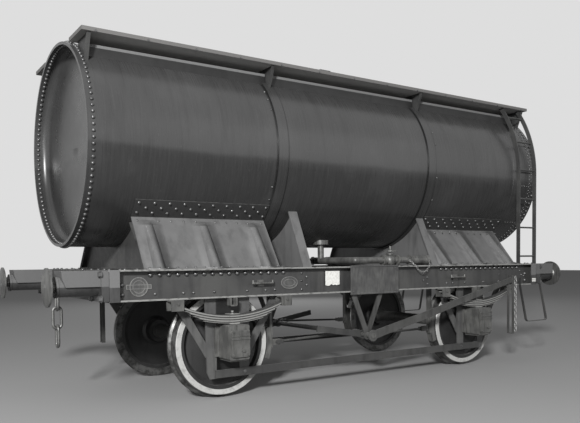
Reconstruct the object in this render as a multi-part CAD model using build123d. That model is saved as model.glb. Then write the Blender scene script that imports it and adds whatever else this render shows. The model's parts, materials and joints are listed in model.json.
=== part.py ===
from build123d import *
import os
from math import asin, atan2, cos, radians, sin, sqrt

# A two-axle railway tank car of the riveted kind: a three-course barrel on transverse cradles and
# slanting side plates, over an underframe of steel channels. X runs along the car, Y across it.
# The near side is -Y and the left end is -X. The origin is on the floor, midway along and across.
# Millimetres. Walkways, side plates, levers and hangers come again after half a turn about Z. The
# ladder, the step, the inner cradles and the outlets face each other across the car instead.

os.makedirs("parts", exist_ok=True)

# Clearances
seat_gap = 0.05              # between pieces that are shrunk or pressed together
running_gap = 0.08           # between a journal and its bearing
touch_gap = 0.3              # between curved faces that bear on each other

# Wheels. The flanges stand on the floor, so rail level is one flange depth above it.
wheel_base = 3200
tread_radius = 470
flange_depth = 28
tyre_width = 127
tyre_back = 681.5            # from the middle of the track to the tyre's inner face
tyre_inner_radius = 415
wheel_rim_radius = 385
wheel_rim_set_back = 6
wheel_hub_radius = 118
wheel_hub_length = 190
wheel_hub_offset = 4         # the hub's middle, outwards from the tyre's
wheel_web = 22
wheel_dish = 34
wheel_fillet = 14
wheel_seat_radius = 78
wheel_seat_length = 202
axle_body_radius = 66
axle_waist_radius = 60
axle_shoulder = 40
journal_radius = 56
journal_collar_radius = 64
journal_length = 229

rail = flange_depth
axle_height = rail + tread_radius
axle_x = wheel_base / 2
tyre_front = tyre_back + tyre_width
hub_middle = tyre_back + tyre_width / 2 + wheel_hub_offset

# Underframe: channel solebars with their flanges outwards, headstocks with theirs inwards.
wheel_clearance = 93.5       # from a tyre's front to the solebar's web
buffer_height = 1028         # above the rail; the middle of solebars, headstocks and buffers
channel_depth = 260
channel_flange = 78
channel_web = 10
channel_flange_thick = 14
headstock_x = 2710
headstock_flange = 92
bearer_depth = 200
bearer_flange = 76
bearer_web = 9
bearer_flange_thick = 12
draw_bearer_y = 205
draw_bearer_flange = 64

solebar_web_y = tyre_front + wheel_clearance
solebar_half_width = solebar_web_y + channel_flange
web_face_y = solebar_web_y + channel_web
frame_height = rail + buffer_height
frame_top = frame_height + channel_depth / 2
frame_bottom = frame_height - channel_depth / 2

# Tank
tank_radius = 900
tank_overhang = 114          # of the barrel, past each headstock
tank_underside = 207         # of the barrel's lowest line, above the frame
tank_plate = 11
end_plate = 13
end_recess = 140
end_knuckle = 85
end_dish = 24
strap_width = 112
strap_thick = 12

tank_half_length = headstock_x + tank_overhang
tank_axis = frame_top + tank_underside + tank_radius
barrel_seat = tank_radius + touch_gap
strap_outer = barrel_seat + strap_thick

# Tank supports
end_cradle_inset = 385       # from the headstock's face
left_cradle_x = -752
cradle_plate = 12
cradle_flange = 100
cradle_foot_inset = 25       # from the solebar's outer edge
cradle_top_inset = 195       # from the barrel's side
cradle_gap = 1.5
strap_gap = 9                # from the side plates' inner ends to the barrel's straps
side_plate_length = 1335
side_plate_inset = 328
side_plate_thick = 10
side_plate_foot_inset = 65
side_plate_foot_margin = 6
# Degrees below the level of the tank's axis: the strip's upper edge and the bend under it.
left_plate_angles = (34.5, 46)
right_plate_angles = (38, 50)
flute_spread = 0.397         # share of the plate's length, from one flute to the next
flute_radius = 62
flute_proud = (16, 40)       # near its top, and at the foot
flute_start = 0.16           # share of the way down the slope, of the middle of its round end

end_cradle_x = headstock_x - end_cradle_inset
side_plate_end = headstock_x - side_plate_inset
strap_x = side_plate_end - side_plate_length - strap_gap - strap_width / 2
side_plate_foot_y = solebar_half_width - side_plate_foot_inset

# Walkways along both shoulders of the barrel
walk_set_in = 134            # from the barrel's side
walk_width = 364
walk_thick = 32
walk_gap = 2                 # between the planks and the barrel's straps
walk_end_gap = 9
walk_bracket_inset = 74
walk_bracket_plate = 10
walk_bracket_flange = 34
walk_bracket_flange_thick = 12
walk_bracket_lip = 22
walk_bracket_reach = 60      # of the bracket's web, short of the plank's inner edge
walk_bracket_drop = 60       # of its flange, into the barrel's curve
walk_angle_inset = 156
walk_angle_leg = 60
walk_angle_thick = 8
walk_angle_drop = 56         # between the planks and the angle under them

walk_outer_y = tank_radius - walk_set_in
walk_inner_y = walk_outer_y - walk_width
walk_under = tank_axis + sqrt(strap_outer ** 2 - walk_inner_y ** 2) + walk_gap
walk_top = walk_under + walk_thick
walk_half_length = tank_half_length - walk_end_gap
walk_bracket_end = tank_half_length - walk_bracket_inset
walk_bracket_xs = (-walk_bracket_end, -strap_x, strap_x, walk_bracket_end)
walk_angle_y = walk_outer_y - walk_angle_inset

# Filler on the crown of the barrel
filler_radius = 205
filler_height = 120
filler_wall = 12
filler_flange = 34
filler_flange_thick = 18
lid_thick = 20
lid_crown = 26
lid_crown_inset = (60, 130)
lid_handle = (140, 48, 16)
hinge_offset = 23            # of the hinge pin, past the neck's flange
hinge_pin_radius = 9
hinge_boss_radius = 20
hinge_ear_x = 48
hinge_ear_thick = 18
hinge_ear_gap = 5
hinge_strap = 48

filler_top = tank_axis + tank_radius + filler_height
lid_radius = filler_radius + filler_flange
lid_hinge_y = lid_radius + hinge_offset
lid_hinge_z = filler_top + lid_thick / 2

# Buffers
buffer_y = 870
buffer_reach = 462           # of the buffer's face, past the headstock
buffer_head_radius = 153
buffer_head_thick = 14
buffer_head_crown = 10
buffer_rod_radius = 38
buffer_rod_start = 14
buffer_boss_radius = 70
buffer_boss_length = 60
buffer_base = (60, 260, 240) # thickness, width across, height
buffer_case = (363, 210, 127)
buffer_case_cut = 34
buffer_tube_radius = 78
buffer_tube_length = 391
buffer_collar_radius = 84
buffer_collar = 18

# Draw gear
hook_plate = (20, 210)
hook_shank = (110, 48, 60)
hook_half_thick = 18
hook_bowl = (165, 0, 78)     # past the headstock, above its middle, radius
hook_mouth = (188, 34, 34)
hook_eye = (150, -34, 27)
link_bar = 13
link_bend = 37
link_straight = 120
link_count = 3

# Axle guards
guard_plate = 14
guard_leg_inner = 116
guard_leg_outer = 214
guard_bottom = axle_height - 294
guard_toe = (30, 60)
guard_flare = 14
guard_crown_gap = 62         # of the crown's lower edge, above the axlebox
guard_stay_top_x = 506
guard_stay_foot = axle_height - 58
guard_stay_width = 72
guard_lap = 84               # of the guard's top, up inside the solebar
guard_lap_end = 34
tie_bar_bottom = axle_height - 288
tie_bar_depth = 72
tie_bar_thick = 14
tie_bar_overrun = 135

# Axleboxes
journal_offset = 88          # of the journal's middle, outwards from the solebar's web
box_half_width = 100
box_drop = 125               # below the axle's middle
box_front = 148              # from the journal's middle
box_back = 118
box_corner = 16
cover_inset = 8
cover_thick = 22
cover_margins = (26, 46)
cover_corner = 22
cover_ridges = ((98, 10), (126, 10))    # below the box's top, and depth
ridge_proud = 7
plug = (24, -28, 15, 14)
keep_thick = 14
keep_inset = 22
cheek_reach = 24
cheek_thick = (16, 14)
guide_gap = 1.5
dust_bore = 6
journal_end_gap = 8

journal_centre = solebar_web_y + journal_offset
box_bottom = axle_height - box_drop
box_front_y = journal_centre + box_front
box_back_y = journal_centre - box_back

# Springs: leaves that shorten downwards, in a buckle that stands on the axlebox.
spring_half_span = 545
spring_camber = 117.5        # from the eyes' middle down to the upper leaf, at the buckle
spring_leaf = 10.5
spring_leaves = 7
spring_leaf_step = 44
spring_width = 78
spring_groove = 1.6
spring_eye_drop = 33         # of the eyes' middle, below the solebar
spring_eye_radius = 17
spring_pin_radius = 10
buckle_half_length = 48
buckle_wall = 10
buckle_bolt = (12, 26)
shoe_length = 116
shoe_toe = 54
shoe_base = 14
shoe_cheek = 12
shoe_room = 4
shoe_drop = 92
bump_stop = (70, 66, 12)
bump_stop_drop = 74

spring_eye_z = frame_bottom - spring_eye_drop
spring_pack_top = spring_eye_z - spring_camber
spring_pack_bottom = spring_pack_top - spring_leaves * spring_leaf
box_top = spring_pack_bottom - buckle_wall
spring_face_y = journal_centre + spring_width / 2

# Brake gear
brake_shaft_radius = 27
brake_shaft_z = frame_bottom - 446
hanger_set_in = 34           # of the V hanger's outer face, from the solebar's outer edge
hanger_spread = 190
hanger_bar = 58
hanger_thick = 12
hanger_boss = 46
hanger_tab = 42
lever_root_gap = 50          # between the solebar's outer edge and the lever's root
lever_set_out = 43           # of the lever at its guard, from the springs' faces
lever_joggle = (150, 760)
lever_reach = 505            # of the lever's grip, past the right axle
lever_end_z = frame_bottom + 70
lever_root_depth = 84
lever_end_depth = 60
lever_thick = 16
lever_overrun = 50           # the lever's grip beyond its guard
lever_end_rise = 12
lever_boss = 58
lever_guard_reach = 494
lever_guard_thick = 9
lever_guard_width = 34
lever_guard_room = (9, 34)   # behind and in front of the lever
lever_guard_bottom = frame_bottom - 562
lever_guard_top = frame_bottom + 128
lever_guard_arm = 40
cross_arm_y = 868
cross_arm = (-586, brake_shaft_z + 96)
cross_arm_depth = 62
cross_arm_thick = 14
crank_half_length = 88
crank_tilt = 14              # degrees
crank_depth = 52
crank_thick = 20
push_rod_radius = 12
rod_pin_radius = 14
block_half_angle = 17        # degrees
block_thick = 50
block_release = 9            # between a released block and the tread
block_y = (724, 800)
block_z = axle_height - 30
block_hanger = (14, 56)

lever_y = spring_face_y + lever_set_out
lever_root_y = solebar_half_width + lever_root_gap
lever_end_x = axle_x + lever_reach
lever_guard_x = axle_x + lever_guard_reach

# Ladder and step at the right end
ladder_x = (headstock_x - 310, headstock_x - 2)
ladder_set_out = 58          # from the barrel's side
ladder_top_inset = 70        # from the planks' outer edge
ladder_bar = 48
ladder_bar_thick = 12
ladder_foot_lap = 60         # of the foot under each stile, onto the solebar
ladder_foot_thick = 12
ladder_first_rung = 92
ladder_pitch = 350
rung_radius = 10
step_x = (headstock_x - 325, headstock_x + 66)
step_drop = 440
step_lean = 92
step_bar = 30
step_bar_thick = 11
step_lap = 90
step_corner = 40

ladder_y = tank_radius + ladder_set_out

# Outlet gear above both solebars, clear of the right inner cradle
outlet_y = solebar_half_width - 90
outlet_z = frame_top + 58
outlet_x = -110
outlet_drop_y = 300
outlet_pipe_radius = 34
outlet_flange_radius = 54
outlet_flange_thick = 16
valve_x = strap_x - 617
valve_radius = 62
valve_neck = (30, 72)
valve_ring = (46, 14)
spindle_radius = 10
spindle_length = 148
outlet_sleeve = (strap_x - 330, strap_x - 116, 47)
outlet_cap = (strap_x - 116, strap_x - 64, 52)
outlet_pad = (84, 24)
wheel_hand_radius = 72
wheel_hand_rim = 9
wheel_hand_z = 96

# Plates and hooks on the solebars' webs
notice_x = (-248, 392)
notice_z = (frame_height - 156, frame_height + 138)
plate_thick = 5
round_plate = (-2432, frame_height - 13, 82)
round_plate_bar = (222, 40, 7)
oval_plate = (-940, frame_height - 16, 96, 60)
label_clip_x = (-512, -332)
label_clip_z = (frame_height - 54, frame_height + 96)
label_clip_lip = 12
horse_hook_xs = (-1262, 1330)
horse_hook_z = frame_height - 12
horse_hook = (105, 11, 50)
horse_hook_pad = (70, 60, 10)

half_turn = Rot(0, 0, 180)


def block(x, y, z):
    size = (x[1] - x[0], y[1] - y[0], z[1] - z[0])
    middle = ((x[0] + x[1]) / 2, (y[0] + y[1]) / 2, (z[0] + z[1]) / 2)
    return Pos(*middle) * Box(*size)


def outline(points):
    return make_face(Polyline(*points, close=True))


# A prism with its outline given as (y, z), from one x to another.
def along_x(points, start, end):
    return Pos(start, 0, 0) * extrude(Plane.YZ * outline(points), end - start)


# A prism with its outline given as (x, z), from one y to a higher one.
def along_y(points, start, end):
    return Pos(0, end, 0) * extrude(Plane.XZ * outline(points), end - start)


def rod(start, end, radius):
    line = Vector(*end) - Vector(*start)
    return Plane(origin=start, z_dir=line) * Pos(0, 0, line.length / 2) * Cylinder(radius, line.length)


# A cylinder along Y, given by its axis (x, z) and its two ends.
def round_y(x, z, start, end, radius):
    return rod((x, start, z), (x, end, z), radius)


# A cylinder along X, given by its axis (y, z) and its two ends.
def round_x(y, z, start, end, radius):
    return rod((start, y, z), (end, y, z), radius)


# A solid turned about the Y axis, with its outline given as (radius, y).
def turned_about_y(points, x, z):
    face = Plane.XY * outline(points)
    return Pos(x, 0, z) * revolve(face, Axis.Y, 360)


# A solid turned about the X axis, with its outline drawn as (x, radius).
def turned_about_x(profile):
    return revolve(make_face(profile.edges()), Axis.X, 360)


# The middle point of a shallow crown's arc, which starts at (x, radius) and ends on the axis.
def crown_middle(x, radius, rise):
    ball = (radius * radius + rise * rise) / (2 * rise)
    half_angle = asin(radius / abs(ball)) / 2
    return (x + rise - ball + ball * cos(half_angle), abs(ball) * sin(half_angle))


def mirror_y(shape):
    return mirror(shape, Plane.XZ)


def joined(shapes):
    shapes = list(shapes)
    whole = shapes[0]
    for shape in shapes[1:]:
        whole += shape
    return whole


def write(name, *shapes):
    solids = [solid for shape in shapes for solid in shape.solids()]
    export_step(Compound(children=solids) if len(solids) > 1 else solids[0], f"parts/{name}.step")


# A flat bar between two points of an X-Z plane, given by its depth at each end and its faces in y.
def flat_bar(start, end, start_depth, end_depth, y):
    dx, dz = end[0] - start[0], end[1] - start[1]
    length = sqrt(dx * dx + dz * dz)
    nx, nz = -dz / length / 2, dx / length / 2
    return along_y([
        (start[0] + nx * start_depth, start[1] + nz * start_depth),
        (end[0] + nx * end_depth, end[1] + nz * end_depth),
        (end[0] - nx * end_depth, end[1] - nz * end_depth),
        (start[0] - nx * start_depth, start[1] - nz * start_depth),
    ], *y)


# The barrel's own shape, swollen to what lies on it between two places along the car.
def barrel_bed(radius, start, end):
    return round_x(0, tank_axis, start, end, radius)


# What bears on the barrel at x, or on the strap that goes round it there.
def seat_radius(x):
    return strap_outer + touch_gap if abs(abs(x) - strap_x) < strap_width else barrel_seat


# Wheelsets

# The tyre, from its back to its front as (radius beyond the tread, distance from its back).
def tyre():
    running_face = (
        (flange_depth - 12, 0),
        (flange_depth, 12),
        (flange_depth - 6, 24),
        (3, 38),
        (0, tyre_width * 0.55),
        (-3, tyre_width - 8),
        (-10, tyre_width),
    )
    profile = [(tread_radius + beyond, tyre_back + across) for beyond, across in running_face]
    profile = [(tyre_inner_radius, tyre_back)] + profile + [(tyre_inner_radius, tyre_front)]
    return turned_about_y(profile, 0, axle_height)


# The wheel's centre: a rim, a disc dished towards the tyre's back at its edge, and a hub.
def wheel_centre():
    rim_back, rim_front = tyre_back + wheel_rim_set_back, tyre_front - wheel_rim_set_back
    hub_back, hub_front = hub_middle - wheel_hub_length / 2, hub_middle + wheel_hub_length / 2
    outer = tyre_inner_radius - seat_gap
    inner_web = hub_middle + wheel_dish / 2
    outer_web = hub_middle - wheel_dish / 2
    near_hub, off_hub = wheel_hub_radius + wheel_fillet, wheel_hub_radius + 3 * wheel_fillet
    near_rim, off_rim = wheel_rim_radius - wheel_fillet / 2, wheel_rim_radius - 3 * wheel_fillet
    half = wheel_web / 2
    profile = [
        (wheel_seat_radius + seat_gap, hub_back),
        (wheel_hub_radius, hub_back),
        (near_hub, inner_web - half - 1.5 * wheel_fillet),
        (off_hub, inner_web - half),
        (off_rim, outer_web - half),
        (near_rim, outer_web - half - wheel_fillet),
        (wheel_rim_radius, rim_back),
        (outer, rim_back),
        (outer, rim_front),
        (wheel_rim_radius, rim_front),
        (near_rim, outer_web + half + wheel_fillet),
        (off_rim, outer_web + half),
        (off_hub, inner_web + half),
        (near_hub, inner_web + half + 1.5 * wheel_fillet),
        (wheel_hub_radius, hub_front),
        (wheel_seat_radius + seat_gap, hub_front),
    ]
    return turned_about_y(profile, 0, axle_height)


def axle():
    seat_start, seat_end = hub_middle - wheel_seat_length / 2, hub_middle + wheel_seat_length / 2
    journal_start, journal_end = journal_centre - journal_length / 2, journal_centre + journal_length / 2
    collar = (journal_start + seat_end) / 2
    half = turned_about_y([
        (0, 0),
        (axle_waist_radius, 0),
        (axle_body_radius, seat_start - axle_shoulder),
        (wheel_seat_radius, seat_start),
        (wheel_seat_radius, seat_end),
        (journal_collar_radius, collar),
        (journal_collar_radius, journal_start - (journal_start - collar) / 2),
        (journal_radius, journal_start),
        (journal_radius, journal_end),
        (0, journal_end),
    ], 0, axle_height)
    return half + mirror_y(half)


def wheelsets():
    for end, x in (("left", -axle_x), ("right", axle_x)):
        place = Pos(x, 0, 0)
        disc, ring = wheel_centre(), tyre()
        write(f"axle_{end}", place * axle())
        write(f"wheels_{end}", place * disc, place * mirror_y(disc))
        write(f"tyres_{end}", place * ring, place * mirror_y(ring))


# Underframe

# A channel's outline as (across, up), its web's back at across = 0 and its flanges towards +across.
def channel(depth, flange, web, flange_thick):
    half = depth / 2
    return [
        (0, -half),
        (flange, -half),
        (flange, -half + flange_thick),
        (web, -half + flange_thick),
        (web, half - flange_thick),
        (flange, half - flange_thick),
        (flange, half),
        (0, half),
    ]


def solebar():
    shape = channel(channel_depth, channel_flange, channel_web, channel_flange_thick)
    points = [(-solebar_web_y - across, frame_height + up) for across, up in shape]
    reach = headstock_x - channel_web
    return along_x(points, -reach, reach)


# The headstock's channel, its flanges cut back round the solebars' ends.
def headstock():
    shape = channel(channel_depth, headstock_flange, channel_web, channel_flange_thick)
    points = [(headstock_x - across, frame_height + up) for across, up in shape]
    bar = along_y(points, -solebar_half_width, solebar_half_width)
    past = channel_web
    for side in (-1, 1):
        y = sorted((side * (solebar_web_y - touch_gap), side * (solebar_half_width + past)))
        bar -= block((headstock_x - headstock_flange - past, headstock_x - channel_web), y,
                     (frame_bottom - past, frame_top + past))
    return bar


def corner_plate():
    y = (-solebar_half_width - channel_web, -solebar_half_width)
    plate = block((headstock_x - headstock_flange, headstock_x), y, (frame_bottom, frame_top))
    edge = plate.edges().filter_by(Axis.Z).sort_by(Axis.X)[-2:].sort_by(Axis.Y)[0]
    return fillet(edge, channel_web * 0.9)


def cross_bearer(x):
    shape = channel(bearer_depth, bearer_flange, bearer_web, bearer_flange_thick)
    middle = frame_top - bearer_depth / 2
    points = [(x + across - bearer_flange / 2, middle + up) for across, up in shape]
    return along_y(points, -solebar_web_y, solebar_web_y)


def cradle_xs():
    return (-end_cradle_x, left_cradle_x, strap_x, end_cradle_x)


def underframe():
    write("solebar_near", solebar())
    write("solebar_far", half_turn * solebar())
    bar = headstock()
    corners = [corner_plate(), mirror_y(corner_plate())]
    write("headstock_right", bar)
    write("headstock_left", half_turn * bar)
    write("corner_plates", *corners, *[half_turn * plate for plate in corners])
    write("cross_bearers", *[cross_bearer(x) for x in cradle_xs()])
    gap = bearer_flange / 2
    starts = [-headstock_x + channel_web] + [x + gap for x in cradle_xs()]
    ends = [x - gap for x in cradle_xs()] + [headstock_x - channel_web]
    shape = channel(bearer_depth, draw_bearer_flange, bearer_web, bearer_flange_thick)
    middle = frame_top - channel_flange_thick - bearer_depth / 2
    pieces = []
    for start, end in zip(starts, ends):
        for side in (-1, 1):
            points = [(side * (draw_bearer_y + across), middle + up) for across, up in shape]
            pieces.append(along_x(points, start, end))
    write("middle_bearers", *pieces)


# Tank

def barrel():
    length = 2 * tank_half_length
    tube = Rot(0, 90, 0) * (Cylinder(tank_radius, length) - Cylinder(tank_radius - tank_plate, length))
    hole = Pos(0, 0, tank_radius) * Cylinder(filler_radius - filler_wall, filler_height)
    return Pos(0, 0, tank_axis) * (tube - hole)


# The end plate is dished inwards and its flange is turned outwards, flush with the barrel's end.
def end_plate_solid():
    outer = tank_radius - tank_plate - touch_gap
    inner = outer - end_plate
    rim = tank_half_length
    face = rim - end_recess
    bend = end_knuckle - end_plate
    knuckle = (face + bend, inner - bend)
    lean = sin(radians(45))
    with BuildLine() as profile:
        Line((rim, outer), (rim, inner))
        Line((rim, inner), (face + bend, inner))
        ThreePointArc((face + bend, inner), (knuckle[0] - bend * lean, knuckle[1] + bend * lean),
                      (face, knuckle[1]))
        ThreePointArc((face, knuckle[1]), crown_middle(face, knuckle[1], -end_dish), (face - end_dish, 0))
        Line((face - end_dish, 0), (face - end_dish - end_plate, 0))
        ThreePointArc((face - end_dish - end_plate, 0),
                      crown_middle(face - end_plate, knuckle[1], -end_dish), (face - end_plate, knuckle[1]))
        ThreePointArc((face - end_plate, knuckle[1]),
                      (knuckle[0] - end_knuckle * lean, knuckle[1] + end_knuckle * lean),
                      (knuckle[0], outer))
        Line((knuckle[0], outer), (rim, outer))
    return Pos(0, 0, tank_axis) * turned_about_x(profile)


def strap(x):
    ring = Cylinder(strap_outer, strap_width) - Cylinder(barrel_seat, strap_width)
    return Pos(x, 0, tank_axis) * Rot(0, 90, 0) * ring


def tank():
    write("tank_barrel", barrel())
    write("tank_end_right", end_plate_solid())
    write("tank_end_left", half_turn * end_plate_solid())
    write("tank_straps", strap(-strap_x), strap(strap_x))


# The filler's neck with the two ears of its hinge, which lies along X on the neck's far side.
def filler(ears):
    base = tank_axis + tank_radius
    neck = Pos(0, 0, base) * Cylinder(filler_radius, 2 * filler_height)
    rim = Pos(0, 0, filler_top - filler_flange_thick / 2) * Cylinder(lid_radius, filler_flange_thick)
    bore = Pos(0, 0, base) * Cylinder(filler_radius - filler_wall, 3 * filler_height)
    bed = barrel_bed(barrel_seat, -2 * lid_radius, 2 * lid_radius)
    return joined([neck + rim - bore - bed] + ears)


def hinge_ear(x):
    half = hinge_ear_thick / 2
    under = filler_top - filler_flange_thick
    arm = block((x - half, x + half), (lid_radius - hinge_strap / 2, lid_hinge_y + hinge_boss_radius),
                (under, lid_hinge_z))
    return arm + round_x(lid_hinge_y, lid_hinge_z, x - half, x + half, hinge_boss_radius)


def filler_and_lid():
    ears = [hinge_ear(-hinge_ear_x), hinge_ear(hinge_ear_x)]
    seat = filler_top + touch_gap
    lid = Pos(0, 0, seat + lid_thick / 2) * Cylinder(lid_radius, lid_thick)
    room = hinge_ear_thick / 2 + hinge_ear_gap
    for x in (-hinge_ear_x, hinge_ear_x):
        lid -= block((x - room, x + room), (lid_radius - lid_crown_inset[0], 2 * lid_radius),
                     (seat, seat + lid_thick))
    bottom, top = (lid_radius - inset for inset in lid_crown_inset)
    lid += Pos(0, 0, seat + lid_thick + lid_crown / 2) * Cone(bottom, top, lid_crown)
    lid += block((-hinge_strap / 2, hinge_strap / 2), (bottom, lid_hinge_y),
                 (seat + lid_thick / 4, lid_hinge_z + lid_thick / 2))
    between = hinge_ear_x - hinge_ear_thick / 2 - touch_gap
    lid += round_x(lid_hinge_y, lid_hinge_z, -between, between, hinge_boss_radius)
    width, depth, thick = lid_handle
    lid += Pos(0, -lid_radius, seat + lid_thick - thick / 2) * Box(width, depth, thick)
    outside = hinge_ear_x + hinge_ear_thick
    bore = round_x(lid_hinge_y, lid_hinge_z, -outside, outside, hinge_pin_radius + running_gap)
    write("filler_neck", filler(ears) - bore)
    write("filler_lid", lid - bore)
    write("lid_hinge_pin", round_x(lid_hinge_y, lid_hinge_z, 3 - outside, outside - 3, hinge_pin_radius))


# Supports under the barrel

# A transverse plate cut to the barrel's curve, with a flange down each slanting edge.
def cradle(x, top_y, foot_y):
    seat = seat_radius(x)
    top_z = tank_axis - sqrt(seat * seat - top_y * top_y)
    half = [(0, frame_top), (-foot_y, frame_top), (-top_y, top_z), (0, top_z)]
    web = along_x(half, x - cradle_plate / 2, x + cradle_plate / 2)
    lean = atan2(top_z - frame_top, foot_y - top_y)
    inset = cradle_plate / sin(lean)
    edge = [(-foot_y, frame_top), (-top_y, top_z), (-top_y + inset, top_z), (-foot_y + inset, frame_top)]
    flange = along_x(edge, x - cradle_flange / 2, x + cradle_flange / 2)
    foot = block((x - cradle_flange / 2, x + cradle_flange / 2), (-foot_y + inset / 2, 0),
                 (frame_top, frame_top + cradle_plate))
    side = web + flange + foot
    return side + mirror_y(side) - barrel_bed(seat, x - cradle_flange, x + cradle_flange)


# The round-ended tool that presses a flute: it lies along the slope, with its crest proud of the
# plate by one height near the top and by a larger one at the foot. Normal points out of the plate.
def flute_tool(top, slope, normal, radius):
    start = top + slope * flute_start + normal * (flute_proud[0] - flute_radius)
    end = top + slope + normal * (flute_proud[1] - flute_radius)
    with BuildPart() as tool:
        with BuildSketch(Plane(origin=start, x_dir=end - start, z_dir=(1, 0, 0))):
            with BuildLine():
                length = (end - start).length + 2 * flute_radius
                lean = radius * sin(radians(45))
                ThreePointArc((-radius, 0), (-lean, lean), (0, radius))
                Polyline((0, radius), (length, radius), (length, 0), (-radius, 0))
            make_face()
        revolve(axis=Axis(start, end - start))
    return tool.part


# The slanting side plate: a strip bent to the barrel, a flat down to the solebar with three
# vertical flutes pressed outwards in it, and a foot along the solebar's top flange.
def side_plate(start, angles):
    t = side_plate_thick
    inner, outer = barrel_seat, barrel_seat + t
    top, bend = radians(angles[0]), radians(angles[1])
    end = start + side_plate_length

    def on_ring(radius, angle):
        return (-radius * cos(angle), tank_axis - radius * sin(angle))

    upper, lower = on_ring(outer, bend), (-side_plate_foot_y, frame_top + t)
    slope = Vector(0, lower[0] - upper[0], lower[1] - upper[1])
    along = slope.normalized()
    root = (upper[0] - 2 * t * along.Y, upper[1] - 2 * t * along.Z)
    below = (lower[0] + 2 * t * along.Y, lower[1] + 2 * t * along.Z)
    flat = along_x([
        root,
        below,
        (below[0] - t * along.Z, below[1] + t * along.Y),
        (root[0] - t * along.Z, root[1] + t * along.Y),
    ], start, end)
    with BuildPart() as strip:
        with BuildSketch(Plane.YZ.offset(start)):
            with BuildLine():
                ThreePointArc(on_ring(outer, top), on_ring(outer, (top + bend) / 2), on_ring(outer, bend))
                Line(on_ring(outer, bend), on_ring(inner, bend))
                ThreePointArc(on_ring(inner, bend), on_ring(inner, (top + bend) / 2), on_ring(inner, top))
                Line(on_ring(inner, top), on_ring(outer, top))
            make_face()
        extrude(amount=side_plate_length)
    toe = solebar_half_width - side_plate_foot_margin
    foot = block((start, end), (-toe, lower[0]), (frame_top, lower[1]))
    solid = flat + strip.part + foot
    normal = Vector(0, along.Z, -along.Y)
    past = 2 * flute_proud[1]
    corners = [root, (root[0] + past * normal.Y, root[1] + past * normal.Z)]
    for y, z in reversed(corners):
        corners.append((y + 2 * slope.Y, z + 2 * slope.Z))
    outside = along_x(corners, start, end)
    for place in (-1, 0, 1):
        origin = Vector(start + side_plate_length / 2 + place * flute_spread * side_plate_length, *upper)
        solid += flute_tool(origin, slope, normal, flute_radius) & outside
        solid -= flute_tool(origin, slope, normal, flute_radius - t)
    under_foot = block((start, end), (-2 * toe, 0), (0, frame_top))
    return solid - under_foot - barrel_bed(barrel_seat, start, end)


def tank_supports():
    behind = side_plate_thick + cradle_gap
    left = side_plate(-side_plate_end, left_plate_angles)
    right = side_plate(side_plate_end - side_plate_length, right_plate_angles)
    write("side_plates_near", left, right)
    write("side_plates_far", half_turn * left, half_turn * right)
    end_pair = []
    for x in (-end_cradle_x, end_cradle_x):
        top_y = barrel_seat * cos(radians(right_plate_angles[1]) + behind / barrel_seat) - cradle_gap
        end_pair.append(cradle(x, top_y, side_plate_foot_y - behind - cradle_gap))
    write("end_cradles", *end_pair)
    inner_row = (tank_radius - cradle_top_inset, solebar_half_width - cradle_foot_inset)
    write("cradles", cradle(left_cradle_x, *inner_row), cradle(strap_x, *inner_row))


# Walkways

def walkway():
    return block((-walk_half_length, walk_half_length), (-walk_outer_y, -walk_inner_y),
                 (walk_under, walk_top))


# A transverse plate from under the planks down onto the barrel, with a flange down its outer edge.
def walk_bracket(x):
    outer = -walk_outer_y + walk_bracket_lip
    inner = -walk_inner_y - walk_bracket_reach
    foot_y = -walk_angle_y - walk_bracket_flange
    seat = seat_radius(x)
    foot_z = tank_axis + sqrt(seat * seat - foot_y * foot_y) - walk_bracket_drop
    t = walk_bracket_flange_thick
    half = walk_bracket_plate / 2
    points = [(outer, walk_under), (foot_y, foot_z), (inner, foot_z), (inner, walk_under)]
    web = along_x(points, x - half, x + half)
    half = walk_bracket_flange / 2
    flange = along_x([(outer, walk_under), (foot_y, foot_z), (foot_y + t, foot_z), (outer + t, walk_under)],
                     x - half, x + half)
    return web + flange - barrel_bed(seat, x - walk_bracket_flange, x + walk_bracket_flange)


# The angle along the barrel under the planks, between one bracket and the next. Its upright leg
# stands on the barrel, cut to clear a strap where it meets one.
def walk_angle(start, end):
    t = walk_angle_thick
    top = walk_under - walk_angle_drop
    outer, inner = -walk_angle_y, -walk_angle_y + walk_angle_leg
    low = tank_axis + sqrt(barrel_seat ** 2 - walk_angle_y ** 2) - walk_angle_thick
    points = [(outer, low), (outer, top), (inner, top), (inner, top - t), (outer + t, top - t),
              (outer + t, low)]
    gap = walk_bracket_flange / 2 + touch_gap
    strip = along_x(points, start + gap, end - gap) - barrel_bed(barrel_seat, start, end)
    for x in (-strap_x, strap_x):
        reach = strap_width / 2 + touch_gap
        strip -= barrel_bed(strap_outer + touch_gap, x - reach, x + reach)
    return strip


def walkways():
    near = walkway()
    brackets = [walk_bracket(x) for x in walk_bracket_xs]
    angles = [walk_angle(*pair) for pair in zip(walk_bracket_xs, walk_bracket_xs[1:])]
    write("walkway_near", near)
    write("walkway_far", half_turn * near)
    write("walkway_brackets", *brackets, *[half_turn * bracket for bracket in brackets])
    write("walkway_angles", *angles, *[half_turn * angle for angle in angles])


# Buffers and draw gear

# A tube from a bolted base to a collar, under a square casing that is cut away at its front.
def buffer_guide():
    start = headstock_x
    thick, width, height = buffer_base
    reach, case_width, case_height = buffer_case
    base = block((start, start + thick), (-width / 2, width / 2), (-height / 2, height / 2))
    tube = round_x(0, 0, start, start + buffer_tube_length, buffer_tube_radius)
    end = start + buffer_tube_length
    collar = round_x(0, 0, end - buffer_collar, end, buffer_collar_radius)
    case = along_y([
        (start, 0),
        (start, case_height),
        (start + reach, case_height),
        (start + reach - buffer_case_cut / 4, case_height / 2),
        (start + reach - buffer_case_cut, 0),
    ], -case_width / 2, case_width / 2)
    bore = round_x(0, 0, start, end, buffer_rod_radius + touch_gap)
    return Pos(0, -buffer_y, frame_height) * (joined([base, tube, collar, case]) - bore)


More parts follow.
